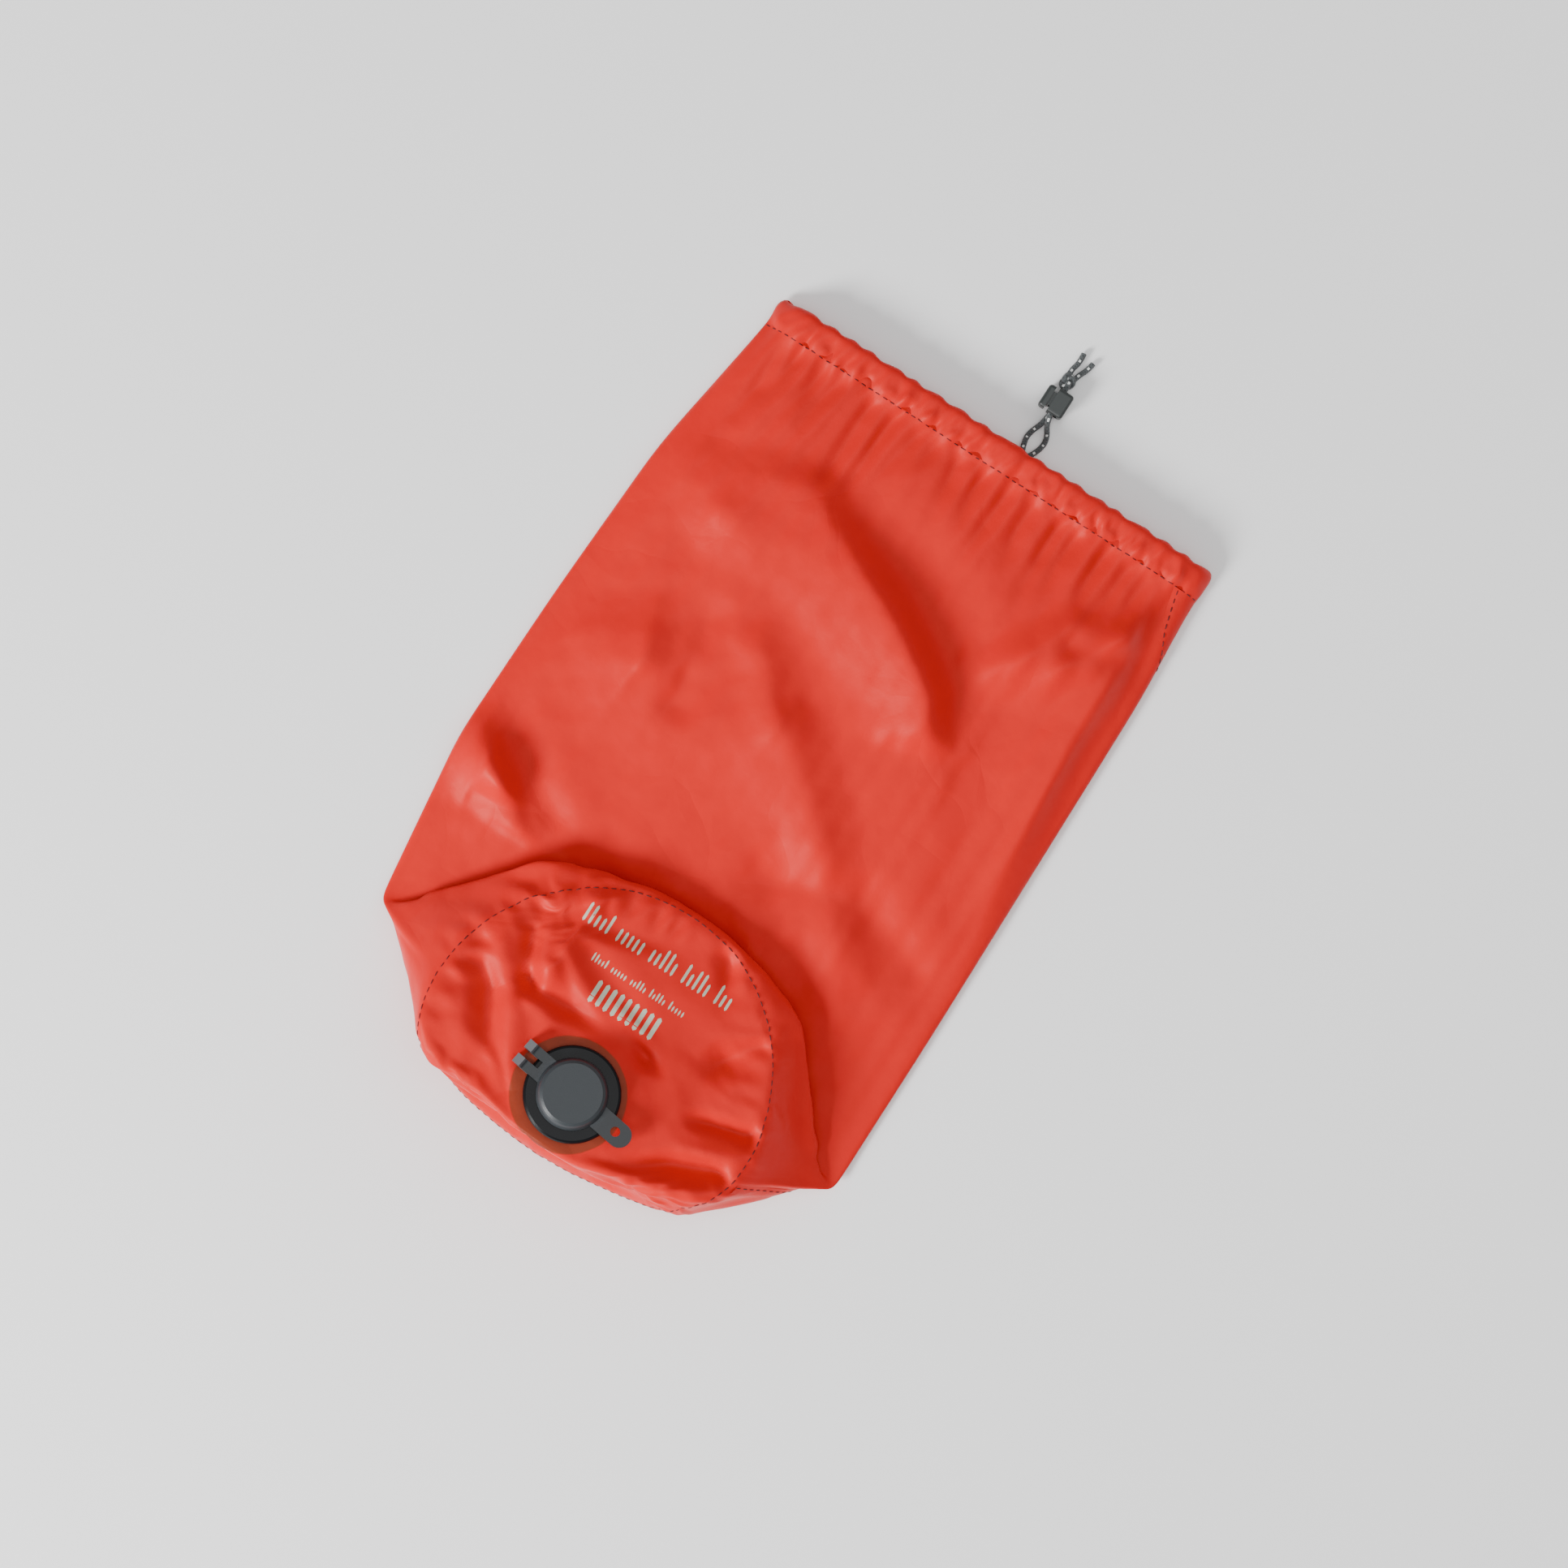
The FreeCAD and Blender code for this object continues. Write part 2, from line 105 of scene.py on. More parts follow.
world = bpy.data.worlds.new("studio")
bpy.context.scene.world = world
world.use_nodes = True
sky = world.node_tree.nodes["Background"]
sky.inputs["Color"].default_value = (1.0, 1.0, 1.0, 1)
sky.inputs["Strength"].default_value = 0.52

bpy.ops.object.select_all(action="DESELECT")
bpy.ops.mesh.primitive_plane_add(size=6.0, location=(0, 0, -0.0002))
table_top = bpy.context.active_object
table_top.name = "table_top"
table_top.data.materials.append(plain_material("white_paper", (0.93, 0.93, 0.93), 0.7)[0])

# ---------------------------------------------------------------------------------------------
# The drawcord: one braided cord, 2 mm thick, dark with white marker threads. It runs round the
# mouth inside the hem, comes out as a loop, passes through the cord lock and ends in a knot.
# ---------------------------------------------------------------------------------------------
CORD_R = 1.0
STRAND_LEFT = ((14.1, 148.5, 2.0), (12.8, 151.7, 1.3), (12.3, 156.0, 1.1), (15.0, 162.0, 2.6),
               (15.0, 175.2, 2.6), (14.4, 178.0, 2.1))
STRAND_RIGHT = ((16.5, 148.5, 2.0), (18.4, 151.6, 1.3), (19.3, 157.2, 1.1), (15.0, 162.4, 4.8),
                (15.0, 175.0, 4.8), (14.6, 178.2, 4.4))
TAIL_LEFT = ((13.1, 178.6, 3.0), (12.9, 182.4, 1.9), (14.0, 186.0, 1.15), (13.6, 189.6, 1.1))
TAIL_RIGHT = ((15.3, 178.2, 3.0), (16.1, 182.0, 1.9), (17.7, 185.0, 1.15), (18.2, 188.3, 1.1))
KNOT_MIDDLE = Vector((14.0, 178.0, 3.15))


def math_node(tree, operation, first, second=None, third=None, clamp=False):
    """The result of a sum on values, each a socket or a number."""
    node = tree.nodes.new("ShaderNodeMath")
    node.operation = operation
    node.use_clamp = clamp
    for socket, value in zip(node.inputs, (first, second, third)):
        if isinstance(value, (int, float)):
            socket.default_value = value
        elif value is not None:
            tree.links.new(value, socket)
    return node.outputs[0]


def mixed(tree, mask, first, second):
    """A colour between two colours, by a mask."""
    node = tree.nodes.new("ShaderNodeMix")
    node.data_type = "RGBA"
    tree.links.new(mask, node.inputs["Factor"])
    for socket, value in ((node.inputs["A"], first), (node.inputs["B"], second)):
        if isinstance(value, tuple):
            socket.default_value = (*value, 1)
        else:
            tree.links.new(value, socket)
    return node.outputs["Result"]


def bumped(tree, shader, height, distance, strength=1.0, before=None):
    """Relief from a height value; before is an earlier relief that this one is added to."""
    node = tree.nodes.new("ShaderNodeBump")
    node.inputs["Strength"].default_value = strength
    node.inputs["Distance"].default_value = distance
    tree.links.new(height, node.inputs["Height"])
    if before is not None:
        tree.links.new(before, node.inputs["Normal"])
    tree.links.new(node.outputs["Normal"], shader.inputs["Normal"])
    return node.outputs["Normal"]


def cord_material(length):
    """Braid of dark yarns with a white marker yarn that comes up every 5.6 mm."""
    material, tree, shader = plain_material("cord_braid", (0.03, 0.035, 0.038), 0.75)
    shader.inputs["Sheen Weight"].default_value = 0.3
    place = tree.nodes.new("ShaderNodeUVMap")
    place.uv_map = "UVMap"
    parts = tree.nodes.new("ShaderNodeSeparateXYZ")
    tree.links.new(place.outputs["UV"], parts.inputs[0])
    along = math_node(tree, "MULTIPLY", parts.outputs["X"], length)
    around = parts.outputs["Y"]
    yarns = []
    for lean in (1.0, -1.0):
        turned = math_node(tree, "MULTIPLY", along, lean * 0.75)
        slanted = math_node(tree, "MULTIPLY_ADD", around, 4.0, turned)
        yarns.append(math_node(tree, "SINE", math_node(tree, "MULTIPLY", slanted, 2 * math.pi)))
    braid = math_node(tree, "MAXIMUM", yarns[0], yarns[1])
    step = math_node(tree, "FRACT", math_node(tree, "DIVIDE", along, 5.6))
    off_mark = math_node(tree, "ABSOLUTE", math_node(tree, "SUBTRACT", step, 0.5))
    near_mark = math_node(tree, "LESS_THAN", off_mark, 0.09)
    off_side = math_node(tree, "PINGPONG", math_node(tree, "ADD", around, 0.333), 0.25)
    mark = math_node(tree, "MULTIPLY", near_mark, math_node(tree, "LESS_THAN", off_side, 0.065))
    # Painted shade and light: the yarn colour darkens in the grooves between yarns and lightens on their
    # crests.
    painted_groove_shade = math_node(tree, "MULTIPLY_ADD", braid, 0.3, 0.5)
    dark = mixed(tree, painted_groove_shade, (0.018, 0.022, 0.024), (0.075, 0.085, 0.088))
    tree.links.new(mixed(tree, mark, dark, (0.72, 0.74, 0.72)), shader.inputs["Base Color"])
    bumped(tree, shader, braid, 0.00012)
    return material


def pick(piece):
    """Select one object alone, ready for an operator."""
    bpy.ops.object.select_all(action="DESELECT")
    piece.select_set(True)
    bpy.context.view_layer.objects.active = piece


def cord_piece(name, route, radius, closed=False):
    """A round cord along a route of points in millimetres; returns the mesh and its centreline."""
    curve = bpy.data.curves.new(name, "CURVE")
    curve.dimensions = "3D"
    spline = curve.splines.new("NURBS")
    spline.points.add(len(route) - 1)
    for point, place in zip(spline.points, route):
        point.co = (*(Vector(place) * MM), 1)
    spline.order_u = 3
    spline.use_cyclic_u = closed
    spline.use_endpoint_u = not closed
    spline.resolution_u = 12
    piece = placed(name, curve)
    centreline = [v.co.copy() for v in piece.to_mesh().vertices]
    piece.to_mesh_clear()
    curve.bevel_depth = radius * MM
    curve.bevel_resolution = 4
    curve.use_fill_caps = True
    pick(piece)
    bpy.ops.object.convert(target="MESH")
    piece = bpy.context.view_layer.objects.active
    length = sum((b - a).length for a, b in zip(centreline, centreline[1:]))
    piece.data.materials.clear()
    piece.data.materials.append(cord_material(length / MM))
    piece.data.shade_smooth()
    return piece, centreline, length


strand_left, left_line, left_length = cord_piece("strand_left", STRAND_LEFT, CORD_R)
strand_right, right_line, right_length = cord_piece("strand_right", STRAND_RIGHT, CORD_R)
tail_left, _, _ = cord_piece("tail_left", TAIL_LEFT, CORD_R)
tail_right, _, _ = cord_piece("tail_right", TAIL_RIGHT, CORD_R)

KNOT_TURNS = 24
knot_route = []
for step in range(KNOT_TURNS):
    t = 2 * math.pi * step / KNOT_TURNS
    swing = 1.3 + 0.62 * math.cos(3 * t)
    knot_route.append((KNOT_MIDDLE.x + 1.0 * swing * math.cos(2 * t),
                       KNOT_MIDDLE.y + 1.3 * swing * math.sin(2 * t),
                       KNOT_MIDDLE.z - 0.1 + 0.95 * math.sin(3 * t)))
knot, _, _ = cord_piece("knot", knot_route, 1.12 * CORD_R, closed=True)

for piece, node in ((strand_left, "cord_left"), (strand_right, "cord_right"), (tail_left, "cord_tail_left"),
                    (tail_right, "cord_tail_right"), (knot, "cord_knot")):
    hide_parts(node)
    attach(piece, "bag")
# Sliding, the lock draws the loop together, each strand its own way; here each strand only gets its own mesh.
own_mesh(strand_left)
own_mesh(strand_right)

# ---------------------------------------------------------------------------------------------
# The sack's cloth: a tube of coated nylon, one side seam, 393 mm round and 297 mm long, turned
# in at the mouth as a tunnel for the drawcord and sewn to a round base panel 125 mm across. It
# is laid out empty with the base folded up over the front, then left to settle as cloth does.
# ---------------------------------------------------------------------------------------------
ROUND_LENGTH = 393.0
BAG_LENGTH = 297.0
BASE_R = ROUND_LENGTH / (2 * math.pi)
COLUMNS = 196
SIDE_COLUMNS = COLUMNS // 4
HEM_DEPTH = 10.5
HEM_ROWS = 5
BODY_ROWS = 91
MOUTH_Y = 148.5
EAR_Y = -104.5
BASE_X = 4.2
BASE_MIDDLE_Y = -112.7
BASE_TOP_Y = -48.7
LOWEST_Y = -148.0
LOWEST_CURVE = 245.0
ROLL_R = 7.0
valve_axis = Vector(next(m["axis"] for m in frame["record"]["mounts"] if m["name"] == "nozzle"))
TILT = math.atan2(valve_axis.y, valve_axis.z)
BASE_EDGE_Y = -45.0
BASE_EDGE_Z = 17.0
VALVE_Y = -121.8
VALVE = Vector((3.5, VALVE_Y, BASE_EDGE_Z + (BASE_EDGE_Y - VALVE_Y) * math.tan(TILT)))


def side_edge(y, right):
    """The left or right outline of the flattened tube."""
    if right:
        return np.interp(y, (EAR_Y, -40, 66, 100, 125, MOUTH_Y), (98.6, 98.4, 96.6, 96.0, 94.0, 92.5))
    return np.interp(y, (EAR_Y, -40, 20, 82, MOUTH_Y), (-90.0, -98.2, -97.0, -94.4, -84.0))


def front_crown(u, y):
    """Height of the front wall, which stands a little off the back wall."""
    crown = np.interp(y, (-104, -60, -30, 20, 80, 130, MOUTH_Y), (5.0, 6.0, 8.0, 11.0, 12.0, 9.0, 8.5))
    power = np.interp(y, (80, 140), (3.5, 14.0))
    return 2.0 + crown * (1 - abs(u) ** power)


def base_surface(p, q):
    """The round base panel where it lies: across p, and q down from its top edge."""
    low_y = LOWEST_Y + p * p / LOWEST_CURVE
    roll_q = (BASE_TOP_Y - (low_y + ROLL_R)) / math.cos(TILT)
    x = BASE_X + p
    if q <= roll_q:
        y = BASE_TOP_Y - q * math.cos(TILT)
        return Vector((x, y, BASE_EDGE_Z + (BASE_EDGE_Y - y) * math.tan(TILT)))
    start_y = BASE_TOP_Y - roll_q * math.cos(TILT)
    start_z = BASE_EDGE_Z + (BASE_EDGE_Y - start_y) * math.tan(TILT)
    swing = math.pi / 2 + TILT
    turned = (q - roll_q) / ROLL_R
    middle = Vector((start_y - ROLL_R * math.sin(TILT), start_z - ROLL_R * math.cos(TILT)))
    angle = min(turned, swing)
    y = middle.x - ROLL_R * math.sin(angle - TILT)
    z = middle.y + ROLL_R * math.cos(angle - TILT)
    rest = max(0.0, (turned - swing) * ROLL_R)
    return Vector((x, y, max(z - rest, 3.0)))


def seam_point(angle):
    """A point of the base seam: angle 0 on the left, a quarter turn at the top."""
    return base_surface(-BASE_R * math.cos(angle), BASE_R * (1 - math.sin(angle)))


def walk(points, share):
    """A point at a share of the way along a list of points."""
    lengths = [(b - a).length for a, b in zip(points, points[1:])]
    left = share * sum(lengths)
    for a, b, length in zip(points, points[1:], lengths):
        if left <= length or b is points[-1]:
            return a.lerp(b, min(1.0, left / max(length, 1e-6)))
        left -= length


ear_left = Vector((-90.0, EAR_Y, 2.2))
ear_right = Vector((98.6, EAR_Y, 2.2))


def away_from_base(point):
    """The level direction from the middle of the base out to a point."""
    return Vector((point.x - BASE_X, point.y - BASE_MIDDLE_Y, 0)).normalized()


def roll_point(u, seam):
    """Where the front wall rolls over to meet the base seam, and out to the ears."""
    ear = ear_left if u < 0 else ear_right
    corner_u = 0.5
    corner_angle = (1 - corner_u) * math.pi / 2
    if u > 0:
        corner_angle = math.pi - corner_angle
    reach = min(abs(u) / corner_u, 1.0)
    out = away_from_base(seam)
    point = seam + out * (4.0 + 10.0 * reach ** 2) - Vector((0, 0, 3.0 + 3.0 * reach))
    if abs(u) <= corner_u:
        return point
    corner_seam = seam_point(corner_angle)
    corner = corner_seam + away_from_base(corner_seam) * 14.0 - Vector((0, 0, 6.0))
    return corner.lerp(ear, (abs(u) - corner_u) / (1 - corner_u))


def wall_path(u, front):
    """The line one thread of the tube follows from the mouth to the base seam."""
    angle = (u + 1) * math.pi / 2
    if not front:
        angle = 2 * math.pi - angle
    seam = seam_point(angle)
    share = (u + 1) / 2

    def lying(y):
        x = float(side_edge(y, False) * (1 - share) + side_edge(y, True) * share)
        if front:
            return Vector((x, y, float(front_crown(u, y))))
        return Vector((x, y, 0.4 + 1.8 * abs(u) ** 10))

    if front:
        roll = roll_point(u, seam)
        after = [roll.lerp(seam, 0.5) + Vector((0, 0, 1.2)), seam]
    else:
        drop = Vector((seam.x, seam.y, 0.6))
        out = away_from_base(seam)
        ear = ear_left if u < 0 else ear_right
        roll = (drop + out * 2.0).lerp(ear, max(0.0, (abs(u) - 0.7) / 0.3))
        after = [roll.lerp(seam, 0.5) + out * 1.5, seam]
    high, low = EAR_Y - 45.0, roll.y if front else EAR_Y + 1.0
    for step in range(24):
        turn_y = (high + low) / 2
        turn = lying(max(turn_y, EAR_Y) if front else turn_y)
        if front:
            turn.z = 3.2 + 2.5 * (1 - abs(u))
        total = (MOUTH_Y - turn_y) + (roll - turn).length + sum(
            (b - a).length for a, b in zip([roll] + after, after))
        if total > BAG_LENGTH:
            high = turn_y
        else:
            low = turn_y
    points = [lying(y) for y in np.linspace(MOUTH_Y, max(turn_y, EAR_Y), 26)]
    if front:
        points[-1].z = turn.z
        points.append(turn + Vector((0, 1.0, 1.6)))
        points.append(turn + (roll - turn) * 0.5 + Vector((0, 0, 1.0)))
    points.append(roll)
    return points + after


rng = np.random.default_rng(5)
WAVE_TURNS = [(cycles, rng.uniform(0.5, 1.1), rng.uniform(0, 6.28)) for cycles in (3, 5, 8, 13, 21)]
PLEAT_REACH = rng.uniform(14.0, 62.0, 41)
PLEAT_DEPTH = rng.uniform(0.55, 1.35, 41)


def gather_wave(s):
    """Uneven pleats round the mouth, about 10 mm apart, with narrow valleys."""
    phase = 2 * math.pi * s / 10.3
    for cycles, amount, start in WAVE_TURNS:
        phase += amount * math.sin(2 * math.pi * cycles * s / ROUND_LENGTH + start)
    return 0.6 - 1.9 * math.exp(-1.6 * (1 + math.cos(phase))) + 0.25 * math.sin(2 * phase + 0.8)


def pleat_value(table, s):
    """A value of a table that runs once round the mouth."""
    return float(np.interp(s / ROUND_LENGTH * len(table) % len(table), range(len(table)), table))


def ridge(x, y, line, heights, near, far):
    """Lift by a fold along a line of points, with a height at each; near is its slope below, far above."""
    best = 1e9
    lift = 0.0
    for n, ((ax, ay), (bx, by)) in enumerate(zip(line, line[1:])):
        dx, dy = bx - ax, by - ay
        along = ((x - ax) * dx + (y - ay) * dy) / (dx * dx + dy * dy)
        held_at = min(max(along, 0.0), 1.0)
        away = math.hypot(x - ax - held_at * dx, y - ay - held_at * dy)
        if away < best:
            best = away
            above = (x - ax) * -dy + (y - ay) * dx > 0
            height = heights[n] + (heights[n + 1] - heights[n]) * held_at
            slope = min(1.0, away / (far if above else near))
            broad_hollow = height < 0 and far > 15
            lift = height * ((1 - slope * slope) ** 2 if broad_hollow else (1 - slope) ** 1.2)
    return lift


FRONT_FOLDS = [
    (((-84, 84), (-40, 98), (-11, 84), (10, 74), (31, 61), (41, 47), (43, 42)),
     (1, 3, 6, 7, 7.5, 5.5, 0), 32.0, 9.5),
    (((-22, 100), (6, 90), (27, 77), (44, 62), (50, 48)), (-1, -2.5, -3, -2.5, -1), 12.0, 26.0),
    (((-99, -31), (-84, -40), (-70, -50), (-50, -66)), (4, 9, 10, 10), 34.0, 5.0),
    (((-90, -22), (-70, -36), (-48, -54)), (-1, -2.5, -3), 5.0, 11.0),
    (((-90, 82), (-60, 74), (-38, 66)), (2, 4, 1), 16.0, 16.0),
    (((62, 106), (52, 86), (40, 72)), (4, 4, 1), 10.0, 12.0),
    (((80, 114), (66, 92), (62, 80)), (4, 4.5, 1), 9.0, 9.0),
    (((66, 100), (86, 108)), (-3, -3), 8.0, 8.0),
    (((82, 112), (83, 72), (88, 25), (92, -10)), (4.5, 5, 4, 1), 20.0, 8.0),
    (((-68, 46), (-57, 16), (-62, -14)), (1, 5, 1), 16.0, 9.0),
    (((-46, 40), (-40, 10)), (-3, -3), 10.0, 12.0),
    (((-24, 40), (-6, 22)), (2.5, 2.5), 12.0, 14.0),
    (((0, 20), (30, -6), (56, -34)), (3, 3.5, 2), 24.0, 14.0),
    (((20, -24), (52, -14), (80, -24)), (-3, -3, -3), 16.0, 14.0),
]
BROAD_FOLDS = len(FRONT_FOLDS)
# Pleats that run down from the hem's stitch line, deep at the top.
pleat_x = -76.0
while pleat_x < 84:
    reach, lean = rng.uniform(16.0, 46.0), rng.uniform(-5.0, 3.0)
    bend_x = pleat_x + 0.4 * lean + rng.uniform(-1.5, 1.5)
    FRONT_FOLDS.append((((pleat_x, 138.5), (bend_x, 138.5 - 0.5 * reach), (pleat_x + lean, 138.5 - reach)),
                        (-rng.uniform(2.4, 4.2), -rng.uniform(1.6, 2.8), 0.0), 4.2, 4.2))
    pleat_x += rng.uniform(6.5, 12.5)
BASE_FOLDS = (
    (((-28, -99.5), (18, -99.5)), (-4.5, -4.5), 3.5, 9.0),
    (((-46, -64), (-36, -88), (-30, -99)), (-1, -5, -3), 9.0, 5.0),
    (((-24, -50), (-24, -74), (-27, -92)), (3.5, 3.5, 2), 8.0, 8.0),
    (((-56, -92), (-40, -108), (-28, -130)), (-1, -5, -2), 8.0, 8.0),
    (((54, -70), (42, -84), (38, -96)), (-1, -4, -1), 8.0, 8.0),
    (((64, -100), (48, -106), (36, -112)), (-4, -4, 0), 5.0, 9.0),
    (((60, -118), (44, -124), (34, -132)), (-4, -4, -1), 6.0, 7.0),
    (((24, -54), (30, -66)), (-3, -1), 7.0, 6.0),
)
EDGE_OVER = 1.0


def front_lift(x, y, d, broad_share=1.0, pleat_share=1.0):
    """Folds of the front wall; the broad ones fade out towards the hem."""
    broad = sum(ridge(x, y, *fold) for fold in FRONT_FOLDS[:BROAD_FOLDS])
    pleats = sum(ridge(x, y, *fold) for fold in FRONT_FOLDS[BROAD_FOLDS:])
    return broad_share * broad * min(1.0, max(0.0, d - HEM_DEPTH) / 30) + pleat_share * pleats


def base_lift(place):
    """Folds of the base panel, which fade out towards the stiff ring of the valve."""
    away = min(1.0, max(0.0, ((place - VALVE).length - 20.0) / 8.0))
    return away * sum(ridge(place.x, place.y, *fold) for fold in BASE_FOLDS)


def seam_pucker(s):
    """Puckers either side of the base seam, 7 to 12 mm apart."""
    phase = 2 * math.pi * s / 9.1
    for cycles, amount, start in WAVE_TURNS:
        phase += 0.8 * amount * math.sin(2 * math.pi * cycles * s / ROUND_LENGTH + 2 * start)
    strength = 0.45 + 0.55 * math.sin(2 * math.pi * s / 97 + 1.0) * math.sin(2 * math.pi * s / 41)
    return max(0.0, strength) * math.sin(phase)


def laid_out_tube():
    """Points of the tube with its base folded up; rows run from inside the hem to the base seam."""
    rows = []
    distances = list(np.linspace(-HEM_DEPTH, HEM_DEPTH, 2 * HEM_ROWS + 1))
    distances += list(np.linspace(HEM_DEPTH, BAG_LENGTH, BODY_ROWS + 1)[1:])
    paths = []
    for c in range(COLUMNS):
        s = ROUND_LENGTH * c / COLUMNS
        half = ROUND_LENGTH / 2
        front = s <= half
        u = 2 * (s % half) / half - 1 if front else 1 - 2 * (s - half) / half
        if c == COLUMNS // 2:
            u = 1.0
        paths.append((s, u, front, wall_path(u, front)))
    for d in distances:
        row = []
        for s, u, front, path in paths:
            point = walk(path, abs(d) / BAG_LENGTH).copy()
            wave = gather_wave(s)
            outward = (1.0 if front else -1.0) * (1 - abs(u) ** 40)
            sideways = math.copysign(abs(u) ** 40, u)
            belly = np.interp(abs(d), (0, 1.0, 2.1, 4.2, 7.0, HEM_DEPTH, 14),
                              (0, 1.35, 1.9, 1.8, 1.0, 0.2, 0.0))
            slant = math.sin(2 * math.pi * (s + 0.5 * abs(d)) / 6.3 + 2.0 * wave)
            crumple = np.interp(abs(d), (0, 2.1, 7.0, HEM_DEPTH), (0.0, 0.35, 1.0, 0.35))
            belly += crumple * (wave + 0.85 * slant)
            if d < 0:
                belly = -belly
            point.z += outward * belly
            point.x += sideways * belly
            if not front:
                point.z += np.interp(abs(d), (0, 6, HEM_DEPTH, 24), (1.9, 1.9, 1.2, 0.0))
            if abs(d) < 6:
                point.y += (EDGE_OVER + 0.75 * wave) * (1 - abs(d) / 6)
            if d > 0:
                reach = pleat_value(PLEAT_REACH, s)
                depth = pleat_value(PLEAT_DEPTH, s) * (1.0 if front else 0.3)
                point.z += depth * wave * np.interp(d, (5, HEM_DEPTH, HEM_DEPTH + reach), (0.2, 1.0, 0.0))
            if front and point.y > -50 and d > HEM_DEPTH:
                point.z += front_lift(point.x, point.y, d)
            if d > BAG_LENGTH - 10:
                point.z += 1.1 * seam_pucker(s) * math.sin(math.pi * (BAG_LENGTH - d) / 10)
            point.z = max(point.z, 0.25)
            row.append(point)
        rows.append(row)
    return distances, rows


def panel_grid():
    """The round base panel as a square net of threads drawn out to a circle: (row, column) to (p, up)."""
    net = {}
    half_column = Matrix.Rotation(math.pi / COLUMNS, 2)
    for i in range(SIDE_COLUMNS + 1):
        for j in range(SIDE_COLUMNS + 1):
            a = 2 * i / SIDE_COLUMNS - 1
            b = 2 * j / SIDE_COLUMNS - 1
            spread = Vector((a * math.sqrt(1 - b * b / 2), b * math.sqrt(1 - a * a / 2)))
            radius = max(abs(a), abs(b))
            if radius > 1e-9:
                if abs(a) >= abs(b):
                    turn = math.pi / 4 * b / a + (0 if a > 0 else math.pi)
                else:
                    turn = math.pi / 2 - math.pi / 4 * a / b + (0 if b > 0 else math.pi)
                even = Vector((radius * math.cos(turn), radius * math.sin(turn)))
                spread = spread.lerp(even, radius ** 2)
            net[i, j] = BASE_R * (half_column @ spread)
    return net


distances, rows = laid_out_tube()
points = []
flat_points = []
tube_index = {}
for r, (d, row) in enumerate(zip(distances, rows)):
    for c, point in enumerate(row):
        tube_index[r, c] = len(points)
        points.append(point)
        turn = math.pi - 2 * math.pi * c / COLUMNS
        flat_points.append(Vector((BASE_R * math.cos(turn), BASE_R * math.sin(turn), -d)))
last_row = len(distances) - 1
tube_points = len(points)
faces = []
for r in range(last_row):
    for c in range(COLUMNS):
        n = (c + 1) % COLUMNS
        faces.append((tube_index[r, c], tube_index[r + 1, c], tube_index[r + 1, n], tube_index[r, n]))
tube_faces = len(faces)

net = panel_grid()
net_index = {}
for (i, j), (p, up) in net.items():
    edge = i in (0, SIDE_COLUMNS) or j in (0, SIDE_COLUMNS)
    if edge:
        column = round((math.pi - math.atan2(up, p)) / (2 * math.pi) * COLUMNS) % COLUMNS
        net_index[i, j] = tube_index[last_row, column]
    else:
        net_index[i, j] = len(points)
        place = base_surface(p, BASE_R - up)
        place.z += base_lift(place)
        inward = BASE_R - math.hypot(p, up)
        if inward < 12:
            s = ROUND_LENGTH * (math.pi - math.atan2(up, p)) / (2 * math.pi)
            place.z += 1.5 * seam_pucker(s) * math.sin(math.pi * inward / 12)
        points.append(place)
        flat_points.append(Vector((p, up, -BAG_LENGTH)))
for i in range(SIDE_COLUMNS):
    for j in range(SIDE_COLUMNS):
        faces.append((net_index[i, j], net_index[i + 1, j], net_index[i + 1, j + 1], net_index[i, j + 1]))

cloth_mesh = bpy.data.meshes.new("sack_cloth")
cloth_mesh.from_pydata([p * MM for p in points], [], faces)
thread = cloth_mesh.uv_layers.new(name="thread")
for face in cloth_mesh.polygons:
    across_join = face.index < tube_faces and face.index % COLUMNS == COLUMNS - 1
    for loop in face.loop_indices:
        index = cloth_mesh.loops[loop].vertex_index
        if face.index < tube_faces:
            row, column = divmod(index, COLUMNS)
            s = (COLUMNS if across_join and column == 0 else column) * ROUND_LENGTH / COLUMNS
            thread.data[loop].uv = (s * MM, distances[row] * MM)
        else:
            thread.data[loop].uv = (flat_points[index].x * MM, flat_points[index].y * MM)
sack = placed("sack_cloth", cloth_mesh)

# What is held while the rest settles: the two turned edges of the hem, the cloth welded round the
# valve, the wall lying on the table, and the sharp side folds out to the two ears.
SIM_SCALE = 10.0
SETTLING_FRAMES = 30
held = [0.0] * len(points)
for (r, c), index in tube_index.items():
    d = distances[r]
    front = c <= COLUMNS // 2
    u = 2 * (c % (COLUMNS // 2)) / (COLUMNS / 2) - 1
    if abs(d) < 2.2 or HEM_DEPTH - 0.1 < abs(d) < HEM_DEPTH + 1.5:
        held[index] = 1.0
    elif not front and abs(u) < 0.9 and d < 230:
        held[index] = 1.0
    elif abs(u) > 0.985 and points[index].y > EAR_Y - 1:
        held[index] = 1.0
    if min((points[index] - ear_left).length, (points[index] - ear_right).length) < 5:
        held[index] = 1.0
    if r == last_row:
        held[index] = 0.45
for (i, j), index in net_index.items():
    if (points[index] - VALVE).length < 21.0:
        held[index] = 1.0

# Sewn lines draw up a little, and the cloth between them is slack, so it buckles into small folds.
BODY_SLACK = 1.012
BASE_SLACK = 1.028
SEAM_DRAWN = 0.97
pattern_points = []
for index, point in enumerate(flat_points):
    drawn = BODY_SLACK if index < tube_points else BASE_SLACK
    if index // COLUMNS == last_row:
        drawn = SEAM_DRAWN
    pattern_points.append(Vector((point.x * drawn, point.y * drawn, point.z)))


